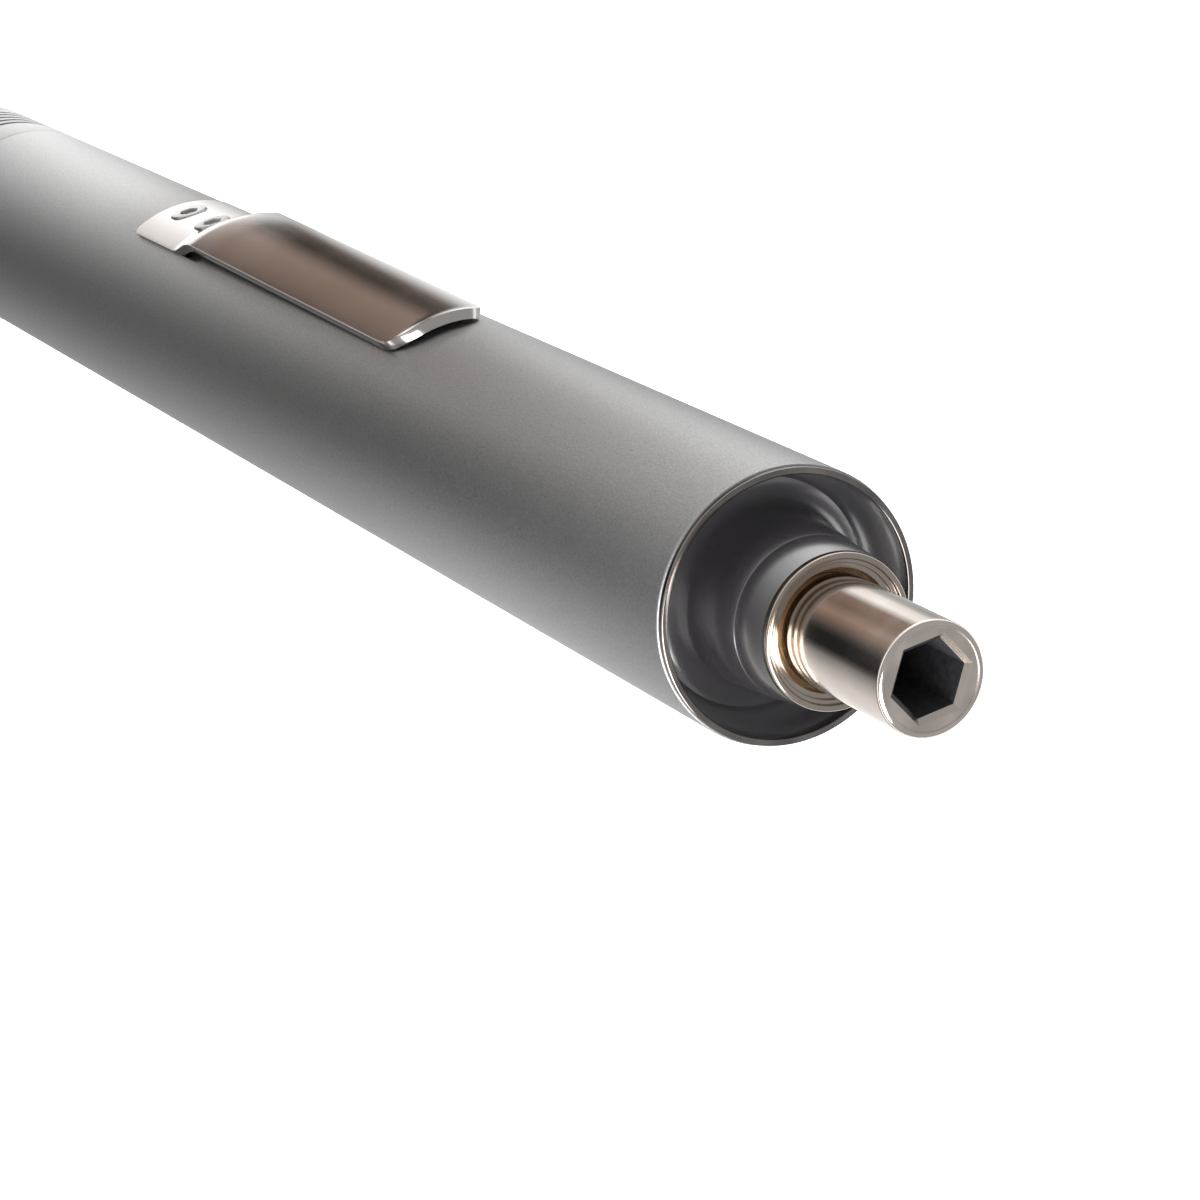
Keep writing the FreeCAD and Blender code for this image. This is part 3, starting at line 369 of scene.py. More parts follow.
FINISHES: dict[Slot, Finish] = {
    Slot.BLASTED: Blasted((0.34, 0.34, 0.34), (0.47, 0.47, 0.465), 1.0, (0.34, 0.5),
                          grain=0.00013, relief=0.00003, shows=0.5),
    Slot.TURNED: Turned((0.56, 0.56, 0.55), (0.68, 0.68, 0.67), 1.0, (0.2, 0.32),
                        relief=0.000004, shows=0.4, pitch=0.00011, rings=True),
    Slot.DARK_NICKEL: Turned((0.18, 0.17, 0.16), (0.30, 0.28, 0.26), 1.0, (0.1, 0.2),
                             relief=0.000002, shows=0.15, pitch=0.00004),
    Slot.WARM_NICKEL: Turned((0.66, 0.59, 0.53), (0.76, 0.69, 0.63), 1.0, (0.07, 0.13),
                             grain=0.0006, relief=0.0000015, shows=0.12, pitch=0.00005),
    Slot.FERRULE_NICKEL: Turned((0.40, 0.35, 0.30), (0.50, 0.44, 0.38), 1.0, (0.12, 0.2),
                                grain=0.0006, relief=0.0000015, shows=0.15, pitch=0.00005),
    Slot.END_NICKEL: Turned((0.56, 0.50, 0.44), (0.66, 0.60, 0.54), 1.0, (0.22, 0.34),
                            relief=0.000004, shows=0.3, pitch=0.00007, rings=True),
    Slot.GLOSS_BLACK: Lacquered((0.034, 0.031, 0.034), (0.040, 0.036, 0.040), 0.0,
                                (0.2, 0.26), grain=0.0012, relief=0.000003, shows=0.08,
                                coat=0.6, coat_rough=0.16, index=2.6),
    Slot.MATTE_BLACK: Finish((0.03, 0.03, 0.033), (0.06, 0.06, 0.065), 0.0, (0.45, 0.62)),
    Slot.NYLON: Soft((0.76, 0.75, 0.70), (0.85, 0.84, 0.80), 0.0, (0.38, 0.5), sheen=0.1),
    Slot.SLEEVE: Lacquered((0.68, 0.68, 0.64), (0.78, 0.78, 0.75), 0.0, (0.2, 0.3), coat=0.4),
    Slot.BRONZE: Finish((0.36, 0.23, 0.12), (0.6, 0.42, 0.25), 1.0, (0.4, 0.6),
                        grain=0.0001, relief=0.00002, shows=0.5),
    Slot.BRASS: Turned((0.70, 0.53, 0.25), (0.82, 0.66, 0.36), 1.0, (0.2, 0.34),
                       relief=0.000003, shows=0.3, pitch=0.0001),
    Slot.COPPER: Turned((0.55, 0.22, 0.1), (0.8, 0.4, 0.22), 1.0, (0.2, 0.35),
                        relief=0.00006, shows=0.8, pitch=0.00014, wobble=1.2),
    Slot.SPRING: Turned((0.5, 0.5, 0.5), (0.68, 0.68, 0.67), 1.0, (0.18, 0.3), grain=0.0003,
                        relief=0.000003, shows=0.25, pitch=0.00012),
    Slot.STEEL: Turned((0.42, 0.42, 0.42), (0.56, 0.56, 0.56), 1.0, (0.24, 0.38),
                       relief=0.000003, shows=0.3, pitch=0.00009),
    # The clip steel's colour is steel with a warm brown tint added as a painted reflection of
    # brown surroundings.
    Slot.CLIP_STEEL: Turned((0.52, 0.485, 0.46), (0.56, 0.525, 0.495), 1.0, (0.12, 0.16),
                            grain=0.0009, relief=0.000001, shows=0.1, pitch=0.00006),
    Slot.FERRITE: Finish((0.05, 0.05, 0.055), (0.13, 0.13, 0.14), 0.0, (0.4, 0.6),
                         grain=0.0002, relief=0.00002, shows=0.5),
    Slot.PLATED_MAGNET: Finish((0.6, 0.6, 0.58), (0.74, 0.74, 0.72), 1.0, (0.12, 0.24)),
    Slot.RUBBER: Soft((0.018, 0.018, 0.018), (0.035, 0.035, 0.035), 0.0, (0.45, 0.6)),
    Slot.CELL_CAN: Turned((0.56, 0.56, 0.55), (0.7, 0.7, 0.69), 1.0, (0.22, 0.34),
                          relief=0.000003, shows=0.2, pitch=0.00015),
    Slot.JACKET: Lacquered((0.05, 0.1, 0.17), (0.07, 0.13, 0.21), 0.0, (0.3, 0.4), coat=0.6),
    Slot.LAMINATIONS: Turned((0.2, 0.2, 0.2), (0.42, 0.41, 0.4), 1.0, (0.3, 0.5),
                             relief=0.00008, shows=0.8, pitch=0.00035, wobble=0.1),
}


class Workshop:
    """Makes each finish's material once, and dresses pieces in it."""

    def __init__(self) -> None:
        """Start with no materials made."""
        self.made: dict[Slot, bpy.types.Material] = {}

    def material(self, slot: Slot) -> bpy.types.Material:
        """The material of a finish, made when it is first asked for."""
        if slot not in self.made:
            board = Board(slot.value)
            FINISHES[slot].dress(board)
            self.made[slot] = board.material
        return self.made[slot]

    def paint(self, piece: bpy.types.Object, slot: Slot) -> None:
        """Put a finish all over a piece."""
        piece.data.materials.clear()
        piece.data.materials.append(self.material(slot))

    def mark(self, piece: bpy.types.Object, slot: Slot,
             chosen: Callable[[Vector], bool]) -> None:
        """Put another finish on some of a piece's faces.

        Args:
            piece: The piece, dressed already.
            slot: The finish.
            chosen: Says of a face's middle whether the face gets the finish.
        """
        piece.data.materials.append(self.material(slot))
        last = len(piece.data.materials) - 1
        for face in piece.data.polygons:
            if chosen(face.center):
                face.material_index = last

    def fit(self, piece: bpy.types.Object, body: Body, slot: Slot, *nodes: str) -> None:
        """Dress a piece, let it move with a body and let it stand for the nodes.

        Args:
            piece: The finished piece.
            body: The body that it moves with.
            slot: Its finish.
            nodes: The nodes that it stands for.
        """
        self.paint(piece, slot)
        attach(piece, body.value)
        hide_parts(*nodes)
        log.info("%s: %d faces, on %s", piece.name, len(piece.data.polygons), body.value)


workshop = Workshop()


# Shapes.


@dataclass(frozen=True)
class Span:
    """How far a node reaches: its radius towards +X, and its lowest and highest point."""

    radius: float
    low: float
    high: float


def span(node: str) -> Span:
    """Measure a node."""
    low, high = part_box(node)
    return Span(high.x, low.z, high.z)


def piece_from(mesh: bmesh.types.BMesh, name: str) -> bpy.types.Object:
    """Turn a mesh into a piece, smooth but for its sharp edges.

    Args:
        mesh: The mesh, which is used up.
        name: The piece's name.

    Returns:
        The piece, at the origin.
    """
    data = bpy.data.meshes.new(name)
    mesh.to_mesh(data)
    mesh.free()
    piece = bpy.data.objects.new(name, data)
    bpy.context.scene.collection.objects.link(piece)
    smooth(piece)
    return piece


def smooth(piece: bpy.types.Object) -> None:
    """Shade a piece smooth between its sharp edges."""
    piece.data.polygons.foreach_set("use_smooth", [True] * len(piece.data.polygons))
    piece.data.set_sharp_from_angle(angle=SHARP_ANGLE)


def bake(piece: bpy.types.Object) -> None:
    """Make a piece's modifiers part of its mesh."""
    graph = bpy.context.evaluated_depsgraph_get()
    data = bpy.data.meshes.new_from_object(piece.evaluated_get(graph))
    piece.modifiers.clear()
    old, piece.data = piece.data, data
    bpy.data.meshes.remove(old)
    data.name = piece.name
    smooth(piece)


def carve(piece: bpy.types.Object, cutter: bpy.types.Object) -> None:
    """Take a cutter out of a piece, and throw the cutter away."""
    carving = piece.modifiers.new("carving", "BOOLEAN")
    carving.operation = "DIFFERENCE"
    carving.solver = "EXACT"
    carving.object = cutter
    bake(piece)
    waste = cutter.data
    bpy.data.objects.remove(cutter)
    bpy.data.meshes.remove(waste)


def tidy(mesh: bmesh.types.BMesh) -> bmesh.types.BMesh:
    """Merge a mesh's doubles and point its faces outwards."""
    bmesh.ops.remove_doubles(mesh, verts=mesh.verts[:], dist=SAME_POINT)
    bmesh.ops.recalc_face_normals(mesh, faces=mesh.faces[:])
    return mesh


def sweep(mesh: bmesh.types.BMesh, geom: list[bmesh.types.BMVert | bmesh.types.BMEdge],
          angle: float, steps: int, climb: float = 0.0, merge: bool = False) -> None:
    """Spin part of a mesh round the Z axis, leaving faces behind it.

    Args:
        mesh: The mesh.
        geom: What is spun.
        angle: How far it turns.
        steps: How many faces there are along the way.
        climb: How far it rises at each step.
        merge: Whether the end joins the start, for a full turn.
    """
    bmesh.ops.spin(mesh, geom=geom, cent=(0, 0, 0), axis=(0, 0, 1), dvec=(0, 0, climb),
                   angle=angle, steps=steps, use_merge=merge, use_normal_flip=False,
                   use_duplicate=False)


def close_up(mesh: bmesh.types.BMesh) -> None:
    """Fill a mesh's open ends."""
    open_edges = [edge for edge in mesh.edges if edge.is_boundary]
    bmesh.ops.holes_fill(mesh, edges=open_edges, sides=0)


class Outline:
    """The half outline of a turned piece, drawn as a wire in the XZ plane and then spun."""

    def __init__(self, across: float, up: float) -> None:
        """Start the wire at a point."""
        self.mesh = bmesh.new()
        self.first = self.last = self.mesh.verts.new((across, 0.0, up))
        self.corners: list[tuple[bmesh.types.BMVert, float, int]] = []

    def to(self, across: float, up: float, rounding: float = 0.0, segments: int = 3) -> "Outline":
        """Draw a straight line to a point.

        Args:
            across: The point's distance from the axis.
            up: The point's height.
            rounding: How far the corner at the point is rounded.
            segments: How many faces the rounding has.

        Returns:
            The outline.
        """
        point = self.mesh.verts.new((across, 0.0, up))
        self.mesh.edges.new((self.last, point))
        self.last = point
        if rounding:
            self.corners.append((point, rounding, segments))
        return self

    def arc(self, across: float, up: float, radius: float, turn: int,
            segments: int = 12) -> "Outline":
        """Draw the short arc to a point that turns left or right.

        Args:
            across: The point's distance from the axis.
            up: The point's height.
            radius: The arc's radius.
            turn: LEFT or RIGHT.
            segments: How many faces the arc has.

        Returns:
            The outline.
        """
        start, end = self.last.co.copy(), Vector((across, 0.0, up))
        chord = end - start
        left = Vector((-chord.z, 0.0, chord.x)).normalized()
        rise = math.sqrt(radius ** 2 - (chord.length / 2) ** 2)
        centre = (start + end) / 2 + left * rise * turn
        angle = 2 * math.asin(chord.length / 2 / radius)
        made = bmesh.ops.spin(self.mesh, geom=[self.last], cent=centre, axis=(0, -turn, 0),
                              dvec=(0, 0, 0), angle=angle, steps=segments, use_merge=False,
                              use_normal_flip=False, use_duplicate=False)
        self.last = made["geom_last"][0]
        return self

    def close(self) -> "Outline":
        """Join the last point to the first."""
        self.mesh.edges.new((self.last, self.first))
        return self

    def spun(self, steps: int = ROUND_STEPS) -> bmesh.types.BMesh:
        """Round the corners and spin the wire all the way round the axis.

        Args:
            steps: How many faces there are round the axis.

        Returns:
            The turned mesh.
        """
        for point, rounding, segments in self.corners:
            bmesh.ops.bevel(self.mesh, geom=[point], offset=rounding, offset_type="OFFSET",
                            segments=segments, profile=0.5, affect="VERTICES", material=-1,
                            clamp_overlap=False)
        sweep(self.mesh, self.mesh.verts[:] + self.mesh.edges[:], math.tau, steps, merge=True)
        return tidy(self.mesh)


def rod(radius: float, start: Vector, end: Vector) -> bpy.types.Object:
    """A plain rod for cutting holes.

    Args:
        radius: Its radius.
        start: The middle of one end.
        end: The middle of the other.

    Returns:
        The rod, as an object.
    """
    mesh = bmesh.new()
    along = end - start
    turn = along.to_track_quat("Z", "Y").to_matrix().to_4x4()
    bmesh.ops.create_cone(mesh, cap_ends=True, segments=SMALL_STEPS, radius1=radius,
                          radius2=radius, depth=along.length,
                          matrix=Matrix.Translation((start + end) / 2) @ turn)
    return piece_from(mesh, "cutter")


def hexagon_well(mesh: bmesh.types.BMesh, corner: float, lead_run: float, lead: float,
                 floor_up: float) -> None:
    """Sink a hexagonal socket into the open round mouth of a turned mesh.

    Args:
        mesh: The turned mesh, open at its mouth.
        corner: The distance from the axis to the socket's corners.
        lead_run: How far the lead-in reaches out beyond the corners.
        lead: How deep the lead-in is.
        floor_up: The height of the socket's floor.
    """
    rim = [edge for edge in mesh.edges if edge.is_boundary]
    mouth_up = rim[0].verts[0].co.z
    side = math.tau / HEX_SIDES
    for reach, up in ((corner + lead_run, mouth_up), (corner, mouth_up - lead),
                      (corner, floor_up)):
        made = bmesh.ops.extrude_edge_only(mesh, edges=rim)["geom"]
        for vert in (item for item in made if isinstance(item, bmesh.types.BMVert)):
            angle = math.atan2(vert.co.y, vert.co.x)
            across = (angle + side / 2) % side - side / 2
            radius = reach * math.cos(side / 2) / math.cos(across)
            vert.co = (radius * math.cos(angle), radius * math.sin(angle), up)
        rim = [item for item in made if isinstance(item, bmesh.types.BMEdge)
               and item.is_boundary]
    bmesh.ops.holes_fill(mesh, edges=rim, sides=0)


# The barrel and the nose.


@dataclass
class Barrel:
    """The long tube with its thin front lip, the clip's bed and the screw holes."""

    bore: float = 0.0065
    lip_wall: float = 0.00033
    edge: float = 0.00015
    front_edge: float = 0.00012
    bed_sink: float = 0.00035
    bed_play: float = 0.00005
    tapping: float = 0.000825
    tapping_reach: float = 0.00135
    bed_margin: float = 0.001

    def build(self) -> None:
        """Build the tube and dress it."""
        shell, foot = span("barrel"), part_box("clip_base")
        flange = span("bezel_ring").high - LIP_DEPTH
        lip_bore = shell.radius - self.lip_wall
        tube = (Outline(self.bore, shell.low)
                .to(shell.radius, shell.low, self.edge)
                .to(shell.radius, foot[0].z - self.bed_margin)
                .to(shell.radius, foot[1].z + self.bed_margin)
                .to(shell.radius, shell.high, self.front_edge)
                .to(lip_bore, shell.high)
                .to(lip_bore, flange)
                .to(self.bore, flange)
                .close())
        piece = piece_from(tube.spun(), "barrel_shell")
        carve(piece, self.bed(shell.radius, foot))
        for up in screw_heights():
            carve(piece, rod(self.tapping, Vector((foot[0].x, 0, up)),
                             Vector((shell.radius - self.bed_sink - self.tapping_reach, 0, up))))
        workshop.fit(piece, Body.BARREL, Slot.BLASTED, "barrel")

    def bed(self, radius: float, foot: tuple[Vector, Vector]) -> bpy.types.Object:
        """The space that the clip's foot is sunk into.

        Args:
            radius: The barrel's radius.
            foot: The lowest and highest corner of the clip's foot.

        Returns:
            The space, as an object.
        """
        low, high = foot[0].z - self.bed_play, foot[1].z + self.bed_play
        inner, outer = radius - self.bed_sink, radius + 2 * self.bed_sink
        mesh = (Outline(inner, low).to(outer, low).to(outer, high).to(inner, high).close()
                .spun())
        half = foot[1].y + self.bed_play
        for point, outwards in (((0, 0, 0), (-1, 0, 0)), ((0, half, 0), (0, 1, 0)),
                                ((0, -half, 0), (0, -1, 0))):
            bmesh.ops.bisect_plane(mesh, geom=mesh.verts[:] + mesh.edges[:] + mesh.faces[:],
                                   dist=SAME_POINT, plane_co=point, plane_no=outwards,
                                   clear_outer=True, clear_inner=False)
            close_up(mesh)
        return piece_from(tidy(mesh), "bed")


@dataclass
class Nose:
    """The bezel, the dished cup with its boss, the collar on the boss and the ferrule."""

    dish_wall: float = 0.0012
    dish_depth: float = 0.00383
    dish_curve: float = 0.0049
    dish_run: float = 0.0016
    fillet: float = 0.0016
    shank_edge: float = 0.00038
    boss_foot: float = 0.0054
    boss_face: float = 0.00526
    boss_curve: float = 0.014
    seam_edge: float = 0.00005
    shank_play: float = 0.00002
    cup_wall: float = 0.0002
    spigot: float = 0.00455
    cavity: float = 0.0046
    bush: float = 0.00408
    front_bore: float = 0.0037
    bezel_edge: float = 0.00011
    bead: float = 0.00042
    step: float = 0.00024
    ledge: float = 0.00026
    ferrule_edge: float = 0.00004
    bead_outside: float = 0.42
    bead_inside: float = 0.3
    ledge_edge: float = 0.00006

    def build(self) -> None:
        """Build and dress each of the nose's pieces."""
        self.bezel()
        self.cup()
        self.collar()
        self.ferrule()

    def dish(self) -> float:
        """The radius of the dish's upright wall."""
        return span("nose_cup").radius - self.cup_wall

    def bezel(self) -> None:
        """The thin polished ring at the barrel's mouth."""
        ring, flange = span("bezel_ring"), span("nose_cup").radius
        middle = (ring.low + ring.high) / 2
        wire = (Outline(self.dish(), ring.low)
                .to(flange, ring.low)
                .to(flange, middle)
                .to(ring.radius, middle)
                .to(ring.radius, ring.high, self.bezel_edge, 4)
                .to(self.dish(), ring.high, self.bezel_edge, 4)
                .close())
        workshop.fit(piece_from(wire.spun(), "bezel"), Body.BARREL, Slot.DARK_NICKEL, "bezel_ring")

    def cup(self) -> None:
        """The dish, the lower half of the boss and the bores behind them."""
        cup, face, collar = span("nose_cup"), span("bezel_ring").high, span("nose_collar")
        shank = Barrel.bore - self.shank_play
        bush = span("spindle_rear_bush")
        floor = face - self.dish_depth
        wire = (Outline(self.cavity, cup.low)
                .to(shank, cup.low, self.shank_edge)
                .to(shank, face - LIP_DEPTH)
                .to(cup.radius, face - LIP_DEPTH)
                .to(cup.radius, span("bezel_ring").low)
                .to(self.dish(), span("bezel_ring").low)
                .to(self.dish(), face - self.dish_wall)
                .arc(self.boss_foot + self.dish_run, floor, self.dish_curve, RIGHT, 20)
                .arc(self.boss_foot, floor + self.fillet, self.fillet, RIGHT, 12)
                .to(self.boss_face, face)
                .arc(collar.radius, cup.high - self.seam_edge, self.boss_curve, LEFT, 8)
                .to(collar.radius - self.seam_edge, cup.high)
                .to(self.spigot, cup.high)
                .to(self.spigot, collar.low)
                .to(self.front_bore, collar.low)
                .to(self.front_bore, bush.high)
                .to(self.bush, bush.high)
                .to(self.bush, bush.low)
                .to(self.cavity, bush.low)
                .close())
        piece = piece_from(wire.spun(), "nose_dish")
        workshop.fit(piece, Body.BARREL, Slot.GLOSS_BLACK, "nose_cup")

    def collar(self) -> None:
        """The upper half of the boss, with the seam below it."""
        collar, seam = span("nose_collar"), span("nose_cup").high
        top = span("ferrule_ring").radius - self.seam_edge
        wire = (Outline(self.bush, collar.low)
                .to(self.spigot - self.shank_play, collar.low)
                .to(self.spigot - self.shank_play, seam + self.seam_edge)
                .to(collar.radius, seam + self.seam_edge, self.seam_edge, 2)
                .arc(top, collar.high, self.boss_curve, LEFT, 10)
                .to(self.bush, collar.high)
                .close())
        piece = piece_from(wire.spun(), "boss_collar")
        workshop.fit(piece, Body.BARREL, Slot.GLOSS_BLACK, "nose_collar")

    def ferrule(self) -> None:
        """The rolled ring round the spindle, with two steps down inside its bead."""
        ring, seat = span("ferrule_ring"), span("nose_collar").high
        crest, step = ring.high, ring.radius - self.bead
        inner = step - self.ledge
        wire = (Outline(self.front_bore, ring.low)
                .to(self.bush, ring.low)
                .to(self.bush, seat)
                .to(ring.radius, seat, self.ferrule_edge)
                .to(ring.radius, crest, self.bead * self.bead_outside, 8)
                .to(step, crest, self.bead * self.bead_inside, 6)
                .to(step, crest - self.step)
                .to(inner, crest - self.step, self.ledge_edge, 4)
                .to(inner, crest - 2 * self.step)
                .to(self.front_bore, crest - 2 * self.step, self.ferrule_edge, 3)
                .close())
        piece = piece_from(wire.spun(), "ferrule")
        workshop.fit(piece, Body.BARREL, Slot.WARM_NICKEL, "ferrule_ring")
        workshop.paint(piece, Slot.FERRULE_NICKEL)


@dataclass
class Spindle:
    """The hollow polished spindle with its hexagonal socket."""

    edge: float = 0.0003
    relief: float = 0.0002
    land: float = 0.00043
    land_edge: float = 0.00004
    recess: float = 0.00006
    lead: float = 0.00034
    lead_run: float = 0.00034
    corner: float = 0.002338
    socket: float = 0.009
    journal: float = 0.0026
    tail: float = 0.00175
    groove: float = 0.0021
    washer_play: float = 0.00005
    clip_gap: float = 0.00015

    def build(self) -> None:
        """Build the spindle and dress it."""
        tube, clip = span("drive_spindle"), span("spindle_circlip")
        bush, collar_top = span("spindle_rear_bush"), span("nose_collar").high
        step = span("thrust_washer").high + self.washer_play
        bearing = tube.radius - self.relief
        mouth = tube.radius - self.land
        bottom = tube.high - self.recess
        wire = (Outline(0.0, tube.low)
                .to(self.tail, tube.low)
                .to(self.tail, clip.low - self.clip_gap)
                .to(self.journal, clip.low - self.clip_gap)
                .to(self.journal, clip.low)
                .to(self.groove, clip.low)
                .to(self.groove, bush.low)
                .to(self.journal, bush.low)
                .to(self.journal, step)
                .to(bearing, step)
                .to(bearing, collar_top)
                .to(tube.radius, collar_top)
                .to(tube.radius, tube.high, self.edge, 8)
                .to(mouth, tube.high, self.land_edge, 3)
                .to(mouth, bottom))
        mesh = wire.spun()
        hexagon_well(mesh, self.corner, self.lead_run, self.lead, bottom - self.socket)
        piece = piece_from(tidy(mesh), "spindle")
        workshop.fit(piece, Body.SPINDLE, Slot.WARM_NICKEL, "drive_spindle")
        lead_foot, floor = bottom - self.lead, bottom - self.socket - SAME_POINT
        # Painted shade: the socket's walls and floor below the lead-in get the matte black finish,
        # so the deep hexagon reads dark.
        workshop.mark(piece, Slot.MATTE_BLACK,
                      lambda middle: floor < middle.z < lead_foot
                      and middle.xy.length < self.corner)
        workshop.mark(piece, Slot.END_NICKEL,
                      lambda middle: middle.z > lead_foot
                      and middle.xy.length < tube.radius - self.edge)


# The pocket clip.


def head_radius() -> float:
    """The radius of a clip screw's head."""
    low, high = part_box("clip_screws")
    return (high.y - low.y) / 2


def screw_heights() -> tuple[float, float]:
    """The heights of the two clip screws' middles."""
    low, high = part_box("clip_screws")
    return low.z + head_radius(), high.z - head_radius()


def rounded_half(half: float, corner: float, run: float) -> float:
    """Half a strip's width near an end with rounded corners.

    Args:
        half: Half its full width.
        corner: The corners' radius.
        run: The distance from the end.

    Returns:
        Half its width there.
    """
    short = corner - min(run, corner)
    return half - corner + math.sqrt(corner ** 2 - short ** 2)


@dataclass
class PocketClip:
    """The sprung steel strip that hugs the barrel, and the two screws that hold it."""

    sheet: float = 0.0007
    sink: float = 0.00035
    tilt: float = math.radians(0.9)
    tip_corner: float = 0.0029
    foot_corner: float = 0.0008
    riser: float = 0.0045
    flare: float = 0.00035
    flare_run: float = 0.0022
    edge: float = 0.00014
    edge_steps: int = 3
    edge_angle: float = math.radians(50)
    cuts_along: int = 180
    cuts_across: int = 24
    head: float = 0.0004
    head_play: float = 0.00005
    socket: float = 0.0008
    socket_depth: float = 0.0002
    hexagon: float = 0.9
    hexagon_lead: float = 0.09

    def build(self) -> None:
        """Build the strip and its screws, and dress them."""
        self.strip()
        for index, up in enumerate(screw_heights()):
            self.screw(index, up)

    def inner(self, up: float, run: float) -> float:
        """How far the strip's inner face is from the barrel's axis along its middle.

        Args:
            up: A height on the strip.
            run: How far the height is below the tip.

        Returns:
            The distance.
        """
        barrel, hinge = span("barrel").radius, span("clip_base").high
        bed = barrel - self.sink
        crest = span("clip_arm").radius - self.sheet
        share = min(max((up - (hinge - self.riser)) / self.riser, 0.0), 1.0)
        rise = share * share * (3 - 2 * share)
        drop = max(up - hinge, 0.0) * math.tan(self.tilt)
        flare = self.flare * max(1.0 - run / self.flare_run, 0.0) ** 2
        return bed + (crest - bed) * rise - drop + flare

    def strip(self) -> None:
        """The strip: a grid that is shaped, bent round the barrel and made thick."""
        foot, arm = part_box("clip_base"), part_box("clip_arm")
        half, low, high = arm[1].y, foot[0].z, arm[1].z
        mesh = bmesh.new()
        bmesh.ops.create_grid(mesh, x_segments=self.cuts_across, y_segments=self.cuts_along,
                              size=1.0)
        for vert in mesh.verts:
            share = (1 + math.sin(vert.co.y * math.pi / 2)) / 2
            up = low + (high - low) * share
            across = vert.co.x * min(rounded_half(half, self.tip_corner, high - up),
                                     rounded_half(half, self.foot_corner, up - low))
            inner = self.inner(up, high - up)
            vert.co = (math.sqrt(inner ** 2 - across ** 2), across, up)
        bmesh.ops.recalc_face_normals(mesh, faces=mesh.faces[:])
        piece = piece_from(mesh, "pocket_clip")
        if piece.data.polygons[0].normal.x < 0:
            piece.data.flip_normals()
        wall = piece.modifiers.new("wall", "SOLIDIFY")
        wall.thickness, wall.offset, wall.use_even_offset = self.sheet, 1.0, True
        rounds = piece.modifiers.new("rounds", "BEVEL")
        rounds.width, rounds.segments = self.edge, self.edge_steps
        rounds.limit_method, rounds.angle_limit = "ANGLE", self.edge_angle
        bake(piece)
        for up in screw_heights():
            reach = span("clip_base").radius
            face = span("barrel").radius - self.sink + self.sheet
            carve(piece, rod(head_radius() + self.head_play,
                             Vector((face - self.sheet / 2, 0, up)), Vector((reach, 0, up))))
        workshop.paint(piece, Slot.CLIP_STEEL)
        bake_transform(piece)
        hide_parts("clip_base", "clip_arm")
        log.info("pocket_clip: %d faces, bends between two bodies", len(piece.data.polygons))

    def screw(self, index: int, up: float) -> None:
        """One countersunk screw with a hexagonal socket.

        Args:
            index: The screw's number.
            up: The height of its middle.
        """
        low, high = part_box("clip_screws")
        radius, depth = head_radius(), high.x - low.x
        wire = (Outline(0.0, 0.0)
                .to(self.socket, 0.0)
                .to(self.socket, depth - self.head)
                .to(radius, depth - self.head, self.head_play)
                .to(radius, depth, self.head_play * 2)
                .to(self.socket, depth))
        mesh = wire.spun(SMALL_STEPS)
        hexagon_well(mesh, self.socket * self.hexagon, self.socket * self.hexagon_lead,
                     self.socket_depth / 2, depth - self.socket_depth)
        tidy(mesh)
        lie = Matrix.Translation((low.x, 0, up)) @ Matrix.Rotation(math.pi / 2, 4, "Y")
        bmesh.ops.transform(mesh, matrix=lie, verts=mesh.verts[:])
        names = ("clip_screws",) if index == 0 else ()
        workshop.fit(piece_from(mesh, f"clip_screw_{index}"), Body.BARREL, Slot.STEEL, *names)


# The tail.


